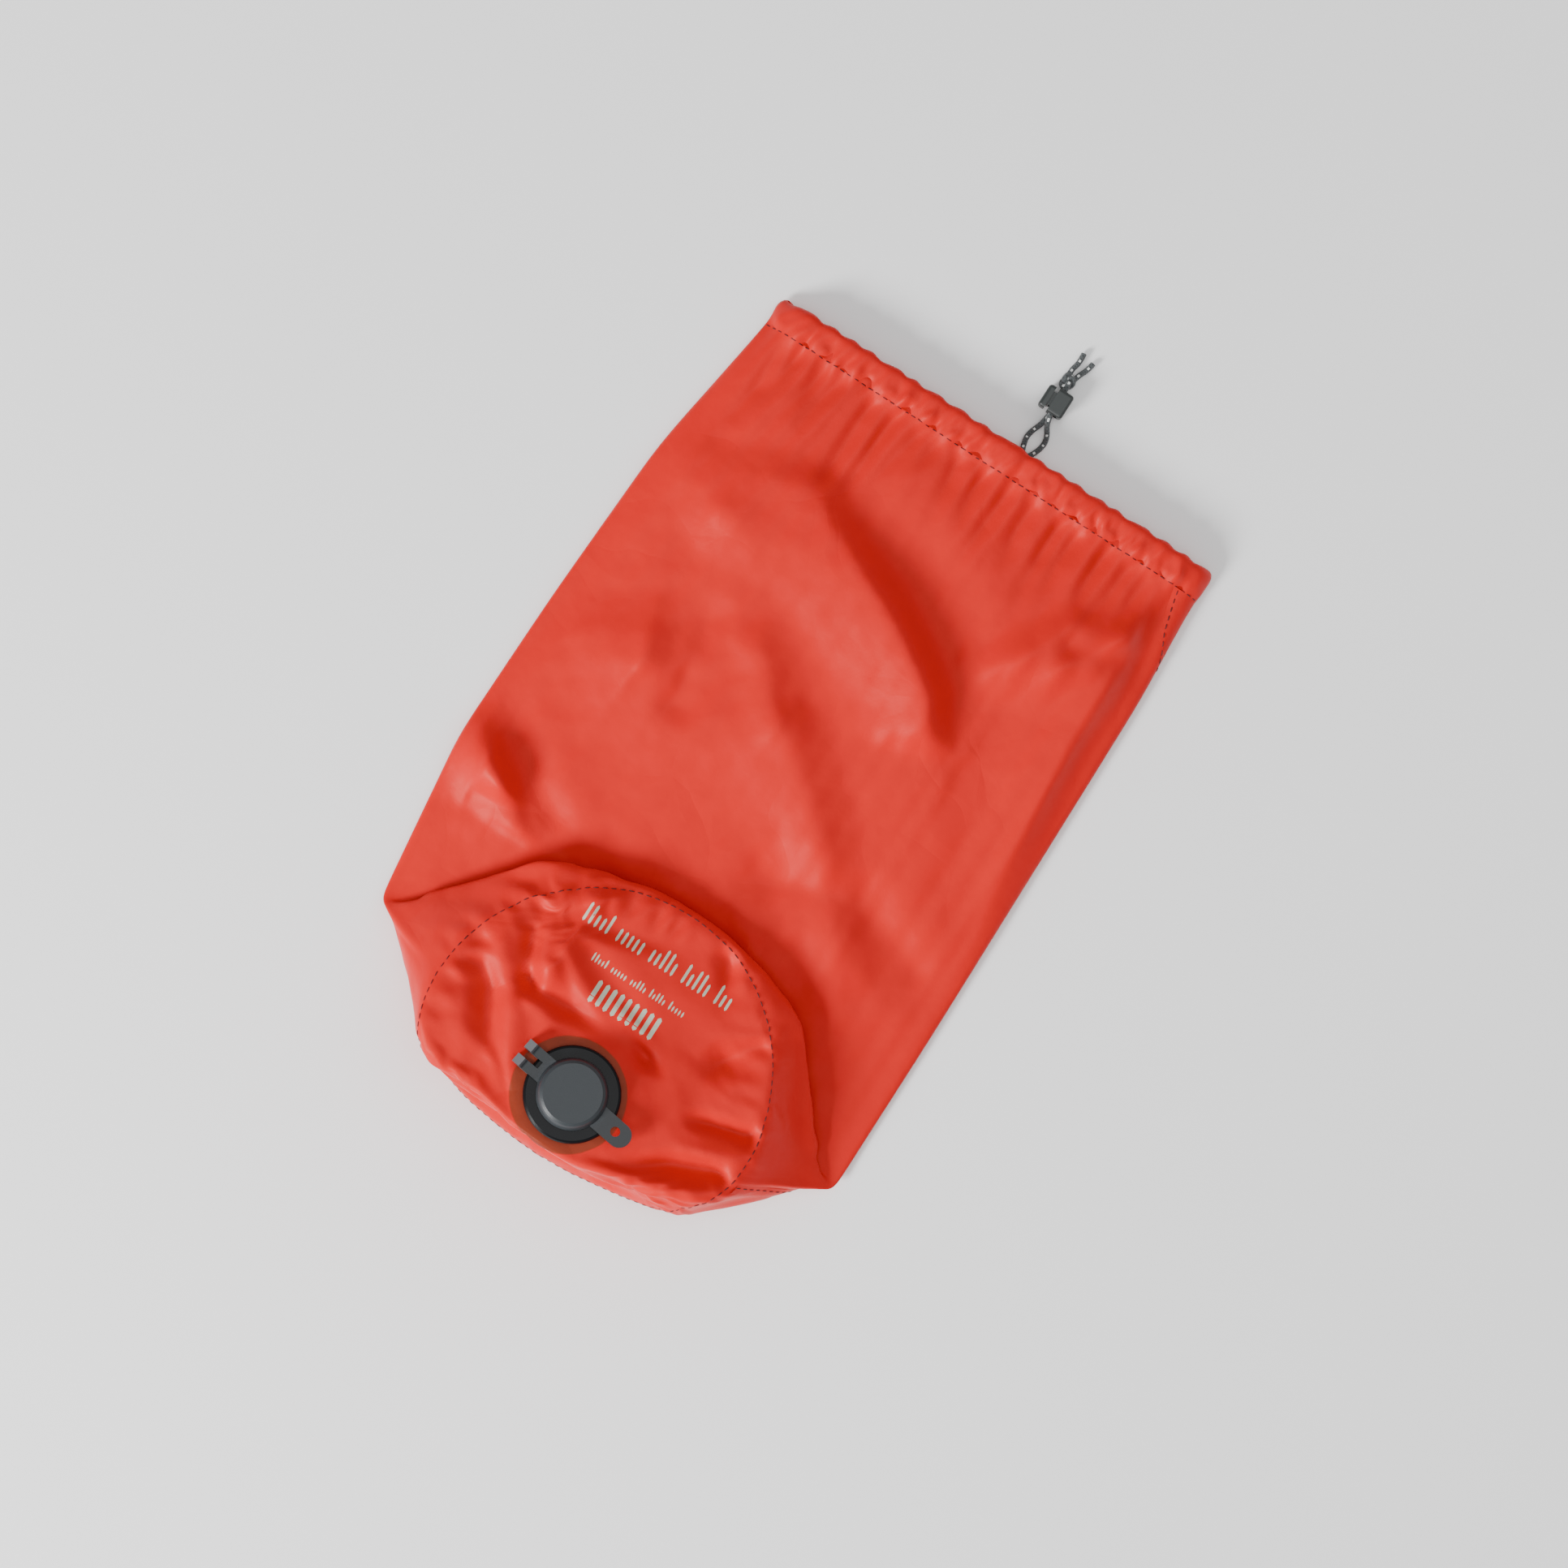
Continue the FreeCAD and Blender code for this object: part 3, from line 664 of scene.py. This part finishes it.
def settled(cloth, flat, weights, frames):
    """Let the cloth settle: its threads pull towards their flat lengths while the held points stay."""
    work_mesh = cloth.data.copy()
    work_mesh.transform(Matrix.Scale(SIM_SCALE, 4))
    work = placed("settling", work_mesh)
    work.shape_key_add(name="laid_out")
    pattern = work.shape_key_add(name="pattern")
    for vertex, point in zip(pattern.data, flat):
        vertex.co = point * MM * SIM_SCALE
    pattern.value = 0.0
    group = work.vertex_groups.new(name="held")
    for index, weight in enumerate(weights):
        if weight > 0:
            group.add([index], weight, "REPLACE")
    modifier = work.modifiers.new("cloth", "CLOTH")
    nylon = modifier.settings
    nylon.quality = 6
    nylon.mass = 0.15
    nylon.air_damping = 4.0
    nylon.tension_stiffness = 40.0
    nylon.compression_stiffness = 25.0
    nylon.shear_stiffness = 12.0
    nylon.bending_stiffness = 0.1
    nylon.tension_damping = 8.0
    nylon.compression_damping = 8.0
    nylon.shear_damping = 8.0
    nylon.bending_damping = 0.5
    nylon.vertex_group_mass = "held"
    nylon.pin_stiffness = 4.0
    nylon.rest_shape_key = pattern
    nylon.effector_weights.gravity = 0.04
    modifier.collision_settings.use_self_collision = True
    modifier.collision_settings.self_distance_min = 0.008
    modifier.collision_settings.distance_min = 0.005
    modifier.point_cache.frame_start = 1
    modifier.point_cache.frame_end = frames
    bpy.ops.object.select_all(action="DESELECT")
    bpy.ops.mesh.primitive_plane_add(size=12.0, location=(0, 0, -0.003))
    table = bpy.context.active_object
    table.modifiers.new("table", "COLLISION")
    table.collision.thickness_outer = 0.002
    for frame_number in range(1, frames + 1):
        bpy.context.scene.frame_set(frame_number)
    shown = work.evaluated_get(bpy.context.evaluated_depsgraph_get())
    places = [v.co / SIM_SCALE for v in shown.to_mesh().vertices]
    shown.to_mesh_clear()
    bpy.context.scene.frame_set(1)
    bpy.data.objects.remove(table)
    bpy.data.objects.remove(work)
    return places


def eased(places):
    """Take out the ripples one or two threads wide that the coarse net leaves, most along the side folds."""
    tube = np.array([tuple(p) for p in places[:tube_points]]).reshape(len(distances), COLUMNS, 3)
    first, last = 2 * HEM_ROWS + 1, last_row - 1
    across_wall = 2 * (np.arange(COLUMNS) % (COLUMNS // 2)) / (COLUMNS / 2) - 1
    at_side = np.abs(across_wall)[None, :, None] > 0.86
    for turn in range(6):
        along = (tube[first - 1:last - 1] + tube[first + 1:last + 1]) / 2
        across = (np.roll(tube, 1, axis=1) + np.roll(tube, -1, axis=1))[first:last] / 2
        middle_part = tube[first:last]
        mild = 0.25 * (along + across) + 0.5 * middle_part if turn < 2 else middle_part
        tube[first:last] = np.where(at_side, 0.5 * along + 0.5 * middle_part, mild)
    return [Vector(p) for p in tube.reshape(-1, 3)] + places[tube_points:]


settled_points = [place / MM for place in settled(sack, pattern_points, held, SETTLING_FRAMES)]
settled_points = eased(settled_points)
for vertex, place in zip(sack.data.vertices, settled_points):
    vertex.co = place * MM
sack.data.update()
outward = 1 if sum(f.center.dot(f.normal) * f.area for f in sack.data.polygons) > 0 else -1
held_normals = [outward * v.normal for v in sack.data.vertices]
# Thin coated cloth keeps sharper creases than threads 2 mm apart can hold, so they are pressed in
# again: the base, its seam, the slanting puckers of the hem, the stitch line, then the front wall.
for index, place in enumerate(settled_points):
    row, column = divmod(index, COLUMNS)
    if index >= tube_points:
        place.z += 0.75 * base_lift(place)
    elif row == last_row:
        place -= 0.7 * held_normals[index]
    elif row - HEM_ROWS in (2, 3, 4) and column <= COLUMNS // 2:
        s = column * ROUND_LENGTH / COLUMNS
        slant = math.sin(2 * math.pi * (s + 0.7 * distances[row]) / 5.9 + 1.5 * gather_wave(s))
        edge = 1 - abs(2 * s / (ROUND_LENGTH / 2) - 1) ** 30
        place.z += (0.45, 1.35, 1.3)[row - HEM_ROWS - 2] * slant * edge
    elif row == 2 * HEM_ROWS:
        place -= Vector((0, 0, 0.45 if column <= COLUMNS // 2 else 0.0))
    elif column <= COLUMNS // 2 and row > 2 * HEM_ROWS and place.y > -60 and distances[row] < 215:
        edge = 1 - abs(2 * column / (COLUMNS / 2) - 1) ** 12
        place.z += edge * front_lift(place.x, place.y, distances[row], 0.3, 0.6)
    sack.data.vertices[index].co = Vector((place.x, place.y, max(place.z, 0.2))) * MM

# Finer threads between, then the pieces the sack is sewn from.
subdivide = sack.modifiers.new("finer", "SUBSURF")
subdivide.levels = 1
subdivide.render_levels = 1
pick(sack)
bpy.ops.object.modifier_apply(modifier="finer")
volume = sum(f.center.dot(f.normal) * f.area for f in sack.data.polygons)
if volume < 0:
    sack.data.flip_normals()
surface = [v.co.copy() for v in sack.data.vertices]
surface_normals = [v.normal.copy() for v in sack.data.vertices]


def cut_piece(name, keep):
    """The part of the sack whose coarse faces pass the test, as a piece of its own."""
    mesh = sack.data.copy()
    mesh.name = name
    work = bmesh.new()
    work.from_mesh(mesh)
    work.faces.ensure_lookup_table()
    gone = [f for f in work.faces if not keep(f.index // 4)]
    bmesh.ops.delete(work, geom=gone, context="FACES")
    for f in work.faces:
        f.smooth = True
    work.to_mesh(mesh)
    work.free()
    return placed(name, mesh)


# The drawcord lies in the middle of the tunnel all the way round.
hidden_route = []
for c in range(0, COLUMNS, 2):
    around = [surface[r * COLUMNS + c] for r in (HEM_ROWS - 2, HEM_ROWS - 1, HEM_ROWS + 1, HEM_ROWS + 2)]
    hidden_route.append(sum(around, Vector()) / 4 / MM)
hidden_cord = cord_piece("cord_round_mouth", hidden_route, 0.85, closed=True)[0]
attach(hidden_cord, "bag")
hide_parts("cord_in_hem")

hem_faces = 2 * HEM_ROWS * COLUMNS
hem = cut_piece("hem", lambda n: n < hem_faces)
body = cut_piece("body_cloth", lambda n: hem_faces <= n < tube_faces)
base = cut_piece("base_cloth", lambda n: n >= tube_faces)
bpy.data.objects.remove(sack)

# Coated nylon: fine plain weave, small creases in patches, a slight unevenness of the dye.
NYLON_RED = (0.60, 0.0085, 0.0075)
nylon_group = bpy.data.node_groups.new("nylon", "ShaderNodeTree")
for name, kind in (("Colour", "Color"), ("Weave", "Float"), ("Creases", "Float")):
    nylon_group.interface.new_socket(name=name, in_out="OUTPUT", socket_type="NodeSocket" + kind)
threads_at = nylon_group.nodes.new("ShaderNodeUVMap")
threads_at.uv_map = "thread"
split = nylon_group.nodes.new("ShaderNodeSeparateXYZ")
nylon_group.links.new(threads_at.outputs["UV"], split.inputs[0])
THREAD_PITCH = 0.00042
weft, warp = (math_node(nylon_group, "SINE", math_node(
    nylon_group, "MULTIPLY", split.outputs[side], 2 * math.pi / THREAD_PITCH)) for side in "XY")
weave = math_node(nylon_group, "MULTIPLY", weft, warp)


def noise_at(tree, vector, scale, detail, kind="ShaderNodeTexNoise"):
    """Noise, or cells of another kind, at a place."""
    node = tree.nodes.new(kind)
    node.inputs["Scale"].default_value = scale
    if kind == "ShaderNodeTexNoise":
        node.inputs["Detail"].default_value = detail
    tree.links.new(vector, node.inputs["Vector"])
    return node


broad = noise_at(nylon_group, threads_at.outputs["UV"], 14.0, 2.0).outputs[0]
middle = noise_at(nylon_group, threads_at.outputs["UV"], 55.0, 2.0).outputs[0]
fine = noise_at(nylon_group, threads_at.outputs["UV"], 260.0, 2.0).outputs[0]
bent = nylon_group.nodes.new("ShaderNodeVectorMath")
bent.operation = "MULTIPLY_ADD"
drift = noise_at(nylon_group, threads_at.outputs["UV"], 30.0, 2.0).outputs["Color"]
nylon_group.links.new(drift, bent.inputs[0])
bent.inputs[1].default_value = (0.02, 0.02, 0.02)
nylon_group.links.new(threads_at.outputs["UV"], bent.inputs[2])
cells = noise_at(nylon_group, bent.outputs[0], 42.0, 0.0, "ShaderNodeTexVoronoi")
cells.feature = "DISTANCE_TO_EDGE"
crease_line = math_node(nylon_group, "MULTIPLY", cells.outputs["Distance"], 3.5, clamp=True)
patch = math_node(nylon_group, "MULTIPLY_ADD", broad, 3.2, -1.25, clamp=True)
creases = math_node(nylon_group, "MULTIPLY", math_node(nylon_group, "MULTIPLY", crease_line, patch), 0.55)
creases = math_node(nylon_group, "MULTIPLY_ADD", middle, 0.6, creases)
creases = math_node(nylon_group, "MULTIPLY_ADD", fine, 0.12, creases)
dye = math_node(nylon_group, "MULTIPLY_ADD", fine, 0.4, math_node(nylon_group, "MULTIPLY", broad, 0.6))
red = mixed(nylon_group, dye, tuple(0.90 * c for c in NYLON_RED), tuple(1.08 * c for c in NYLON_RED))
nylon_out = nylon_group.nodes.new("NodeGroupOutput")
for name, value in (("Colour", red), ("Weave", weave), ("Creases", creases)):
    nylon_group.links.new(value, nylon_out.inputs[name])


def nylon_material(name):
    material, tree, shader = plain_material(name, NYLON_RED, 0.43)
    shader.inputs["Specular IOR Level"].default_value = 0.22
    shader.inputs["Specular Tint"].default_value = (1.0, 0.55, 0.45, 1)
    shader.inputs["Sheen Weight"].default_value = 0.12
    shader.inputs["Sheen Roughness"].default_value = 0.35
    shader.inputs["Sheen Tint"].default_value = (1.0, 0.35, 0.25, 1)
    group = tree.nodes.new("ShaderNodeGroup")
    group.node_tree = nylon_group
    tree.links.new(group.outputs["Colour"], shader.inputs["Base Color"])
    relief = bumped(tree, shader, group.outputs["Creases"], 0.0009, 0.8)
    bumped(tree, shader, group.outputs["Weave"], 0.00002, 0.5, before=relief)
    return material, tree, shader, group


def measured(tree, place, operation, other):
    """A distance or a height, from a place and a fixed vector."""
    node = tree.nodes.new("ShaderNodeVectorMath")
    node.operation = operation
    tree.links.new(place, node.inputs[0])
    node.inputs[1].default_value = other
    return node.outputs["Value"]


body_nylon = nylon_material("nylon")[0]
base_nylon, tree, shader, group = nylon_material("nylon_welded")
# The round film welded behind the valve shows through the cloth as a brown ring.
place = tree.nodes.new("ShaderNodeTexCoord").outputs["Object"]
uneven = noise_at(tree, place, 220.0, 2.0).outputs[0]
ring_edge = math_node(tree, "MULTIPLY_ADD", uneven, 0.0006, 0.0202)
from_valve = measured(tree, place, "DISTANCE", (VALVE + Vector((-1.0, -0.7, 0))) * MM)
film = math_node(tree, "MULTIPLY", math_node(tree, "SUBTRACT", ring_edge, from_valve), 1800.0, clamp=True)
height_there = measured(tree, place, "DOT_PRODUCT", valve_axis)
above = math_node(tree, "SUBTRACT", height_there, VALVE.dot(valve_axis) * MM)
flat_there = math_node(tree, "LESS_THAN", math_node(tree, "ABSOLUTE", above), 0.0012)
film = math_node(tree, "MULTIPLY", film, flat_there)
tree.links.new(mixed(tree, film, group.outputs["Colour"], (0.22, 0.028, 0.012)), shader.inputs["Base Color"])
tree.links.new(math_node(tree, "MULTIPLY_ADD", film, -0.11, 0.43), shader.inputs["Roughness"])

for piece, material, node in ((hem, body_nylon, "hem_tunnel"), (body, body_nylon, "body_panel"),
                              (base, base_nylon, "base_panel")):
    piece.data.materials.clear()
    piece.data.materials.append(material)
    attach(piece, "bag")
    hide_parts(node)

# ---------------------------------------------------------------------------------------------
# Seams. The tube is closed by one lapped seam beside the right fold; the hem and the base are
# sewn with dark red thread, about eight stitches to 25 mm, and the stitches sink into the cloth.
# ---------------------------------------------------------------------------------------------
STITCH_PITCH = 3.1
STITCH_LENGTH = 2.5
THREAD_R = 0.21


def coarse(row, column):
    """The point and the normal of the tube at a row, between two columns."""
    first = row * COLUMNS + int(column) % COLUMNS
    second = row * COLUMNS + (int(column) + 1) % COLUMNS
    share = column - int(column)
    normal = surface_normals[first].lerp(surface_normals[second], share)
    return surface[first].lerp(surface[second], share), normal


def seam_column(row):
    """The side seam starts on the front, and the twist of the tube carries it round the fold."""
    return float(np.interp(distances[row], (10, 26, 52, 90), (94.6, 96.4, 102.0, 103.5)))


def stitched(name, line, closed, lift=0.05):
    """Short stitches of thread along a line of (point, normal) pairs."""
    line = list(line) + ([line[0]] if closed else [])
    spots = [p for p, _ in line]
    lengths = np.concatenate(([0], np.cumsum([(b - a).length for a, b in zip(spots, spots[1:])])))
    verts, quads = [], []
    rings, sides = (-0.5, -0.42, -0.2, 0.2, 0.42, 0.5), 6
    for start in np.arange(0.5 * STITCH_PITCH * MM, lengths[-1] - 0.5 * STITCH_PITCH * MM, STITCH_PITCH * MM):
        i = min(int(np.searchsorted(lengths, start)), len(line) - 1)
        share = (start - lengths[i - 1]) / max(lengths[i] - lengths[i - 1], 1e-9)
        middle_at = spots[i - 1].lerp(spots[i], share)
        normal = line[i - 1][1].lerp(line[i][1], share).normalized()
        along = (spots[i] - spots[i - 1]).normalized()
        across = normal.cross(along).normalized()
        first = len(verts)
        for ring in rings:
            reach = (0.25 if abs(ring) == 0.5 else 0.8 if abs(ring) == 0.42 else 1.0) * THREAD_R * MM
            sink = (lift - 0.35 * (2 * abs(ring)) ** 3) * MM
            middle_of_ring = middle_at + along * ring * STITCH_LENGTH * MM + normal * sink
            for k in range(sides):
                turn = 2 * math.pi * k / sides
                spoke = across * reach * math.cos(turn) + normal * reach * math.sin(turn)
                verts.append(middle_of_ring + spoke)
        for ring in range(len(rings) - 1):
            for k in range(sides):
                n = (k + 1) % sides
                a, b = first + ring * sides, first + (ring + 1) * sides
                quads.append((a + k, a + n, b + n, b + k))
        quads.append(tuple(first + k for k in reversed(range(sides))))
        quads.append(tuple(first + (len(rings) - 1) * sides + k for k in range(sides)))
    mesh = bpy.data.meshes.new(name)
    mesh.from_pydata(verts, [], quads)
    mesh.shade_smooth()
    piece = placed(name, mesh)
    piece.data.materials.append(thread_material)
    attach(piece, "bag")
    return piece


thread_material, tree, shader = plain_material("sewing_thread", (0.06, 0.0015, 0.0015), 0.7)
place = tree.nodes.new("ShaderNodeTexCoord").outputs["Object"]
twist = noise_at(tree, place, 3000.0, 1.0).outputs[0]
tree.links.new(mixed(tree, twist, (0.035, 0.001, 0.001), (0.09, 0.003, 0.003)), shader.inputs["Base Color"])
bumped(tree, shader, twist, 0.0001)

STITCH_ROW = 2 * HEM_ROWS
hem_stitches = stitched("hem_stitches", [coarse(STITCH_ROW, c) for c in range(COLUMNS)], True)
base_stitches = stitched("base_stitches", [coarse(last_row, c) for c in range(COLUMNS)], True)
side_line = [coarse(r, seam_column(r) - 1) for r in range(STITCH_ROW, last_row + 1)]
side_stitches = stitched("side_stitches", side_line, False, 0.32)

# The lapped edge of the side seam: a folded strip of the same cloth, lying on the tube.
strip_faces = []
strip_verts = []
for r in range(STITCH_ROW, last_row):
    for side in (-2, -1, 0, 1):
        point, normal = coarse(r, seam_column(r) + side)
        edge = side in (-2, 1)
        strip_verts.append(point + normal * (0.02 if edge else 0.3) * MM)
for r in range(last_row - STITCH_ROW - 1):
    for k in range(3):
        a = 4 * r + k
        strip_faces.append((a, a + 4, a + 5, a + 1))
strip_mesh = bpy.data.meshes.new("side_seam_strip")
strip_mesh.from_pydata(strip_verts, [], strip_faces)
strip_thread = strip_mesh.uv_layers.new(name="thread")
for loop in strip_mesh.loops:
    row, k = divmod(loop.vertex_index, 4)
    strip_thread.data[loop.index].uv = (0.0021 * k, 0.00315 * row)
side_strip = placed("side_seam_strip", strip_mesh)
strip_mesh.shade_smooth()
side_strip.data.materials.append(body_nylon)
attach(side_strip, "bag")
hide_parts("side_seam")
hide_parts("base_seam")

# ---------------------------------------------------------------------------------------------
# The print on the base: three lines of plain blocks in pale grey-green ink, screen printed, a
# stand-in that carries no words.
# ---------------------------------------------------------------------------------------------
# For each line: its middle across, height, width, number of bars and width of a bar.
PRINT_LINES = (
    (-66.5, 7.4, 60.0, 27, 1.0),
    (-78.5, 3.4, 39.0, 30, 0.62),
    (-88.2, 8.6, 27.0, 9, 1.6),
)
base_low = bmesh.new()
base_low.from_mesh(base.data)
base_tree = BVHTree.FromBMesh(base_low)
base_low.free()
ink_verts, ink_faces = [], []


def print_block(left, right, low, high):
    """One rounded block of ink, laid on the cloth from above."""
    columns = max(2, round((right - left) / 0.5))
    lines = max(2, round((high - low) / 0.7))
    first = len(ink_verts)
    corner = min(0.45 * (right - left), 0.3 * (high - low))
    for j in range(lines + 1):
        y = low + (high - low) * j / lines
        near_end = max(0.0, corner - min(y - low, high - y))
        inset = corner - math.sqrt(max(corner ** 2 - near_end ** 2, 0.0))
        for i in range(columns + 1):
            x = left + inset + (right - left - 2 * inset) * i / columns
            hit, normal, _, _ = base_tree.ray_cast(Vector((x, y, 60)) * MM, Vector((0, 0, -1)))
            ink_verts.append(hit + normal * 0.04 * MM)
    for j in range(lines):
        for i in range(columns):
            a = first + j * (columns + 1) + i
            ink_faces.append((a, a + 1, a + columns + 2, a + columns + 1))


for middle_y, tall, wide, bars, bar in PRINT_LINES:
    for n in range(bars):
        x = 3.0 - wide / 2 + wide * (n + 0.5) / bars
        low = middle_y - tall / 2
        height = tall * (1.0, 0.66, 0.66, 1.0, 0.66)[(3 * n + n // 4) % 5] if bars > 9 else tall
        if n % 6 != 5 or bars < 12:
            print_block(x - bar / 2, x + bar / 2, low, low + height)
ink_mesh = bpy.data.meshes.new("print_ink")
ink_mesh.from_pydata(ink_verts, [], ink_faces)
ink_mesh.shade_smooth()
print_ink = placed("print_ink", ink_mesh)
ink_material, tree, shader = plain_material("print_ink", (0.42, 0.44, 0.33), 0.6)
place = tree.nodes.new("ShaderNodeTexCoord").outputs["Object"]
grain = noise_at(tree, place, 900.0, 3.0).outputs[0]
tree.links.new(mixed(tree, grain, (0.36, 0.38, 0.28), (0.50, 0.52, 0.40)), shader.inputs["Base Color"])
bumped(tree, shader, grain, 0.00005)
print_ink.data.materials.append(ink_material)
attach(print_ink, "bag")

# ---------------------------------------------------------------------------------------------
# The valve: a gloss black flange with a short neck, welded through the cloth, and a satin grey
# snap cap on a live hinge, held by the retainer ring under the flange's rim.
# ---------------------------------------------------------------------------------------------
def finish_node(name, material):
    node = frame["nodes"][name]
    node.data.materials.clear()
    node.data.materials.append(material)


def moulded(name, colour, other, roughness, grain_height):
    """A hard material with a faint unevenness of colour and a fine surface grain."""
    material, tree, shader = plain_material(name, colour, roughness)
    place = tree.nodes.new("ShaderNodeTexCoord").outputs["Object"]
    cloud = noise_at(tree, place, 90.0, 3.0).outputs[0]
    grain = noise_at(tree, place, 2600.0, 2.0).outputs[0]
    tree.links.new(mixed(tree, cloud, colour, other), shader.inputs["Base Color"])
    uneven = math_node(tree, "MULTIPLY_ADD", cloud, 0.12, roughness - 0.06)
    tree.links.new(uneven, shader.inputs["Roughness"])
    bumped(tree, shader, grain, grain_height)
    return material, tree, shader


flange_black, tree, shader = moulded(
    "flange_black", (0.003, 0.0035, 0.0045), (0.005, 0.0055, 0.0065), 0.26, 0.00001)
shader.inputs["Specular IOR Level"].default_value = 0.16
cap_grey, tree, shader = moulded("cap_grey", (0.022, 0.026, 0.030), (0.028, 0.033, 0.037), 0.42, 0.00003)
shader.inputs["Specular IOR Level"].default_value = 0.35
# The straps are thin, so they look smoky and let some of the red below show through.
place = tree.nodes.new("ShaderNodeTexCoord").outputs["Object"]
from_cap = measured(tree, place, "DISTANCE", (VALVE + 5.0 * valve_axis) * MM)
strap = math_node(tree, "MULTIPLY", math_node(tree, "SUBTRACT", from_cap, 0.0128), 900.0, clamp=True)
tree.links.new(math_node(tree, "MULTIPLY", strap, 0.35), shader.inputs["Transmission Weight"])
smoke_grey = moulded("smoke_grey", (0.070, 0.070, 0.078), (0.095, 0.092, 0.100), 0.30, 0.00001)[0]
weld_film = moulded("weld_film", (0.36, 0.032, 0.010), (0.30, 0.03, 0.012), 0.35, 0.00002)[0]
for node, material, slot in (("valve_body", flange_black, "flange_black"),
                             ("backing_ring", flange_black, "flange_black"),
                             ("weld_patch", weld_film, "weld_film"), ("valve_cap", cap_grey, "cap_grey"),
                             ("cap_retainer", smoke_grey, "cap_grey")):
    finish_node(node, material)

# ---------------------------------------------------------------------------------------------
# The cord lock: a moulded shell, a push button through its side and a cone spring between them.
# ---------------------------------------------------------------------------------------------
lock_plastic = moulded("lock_plastic", (0.014, 0.018, 0.018), (0.022, 0.027, 0.026), 0.45, 0.00002)[0]
finish_node("lock_shell", lock_plastic)
finish_node("lock_plunger", lock_plastic)
steel, tree, shader = moulded("spring_steel", (0.55, 0.55, 0.56), (0.42, 0.42, 0.44), 0.3, 0.00001)
shader.inputs["Metallic"].default_value = 1.0
# The designed spring, its loose facets joined, on a mesh of its own; the real one shortens as the button goes
# in.
spring = placed("spring", frame["nodes"]["lock_spring"].data.copy())
spring.matrix_world = frame["nodes"]["lock_spring"].matrix_world.copy()
work = bmesh.new()
work.from_mesh(spring.data)
bmesh.ops.remove_doubles(work, verts=work.verts, dist=1e-6)
work.to_mesh(spring.data)
work.free()
spring.data.materials.clear()
spring.data.materials.append(steel)
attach(spring, "lock")
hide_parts("lock_spring")
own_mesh(spring)
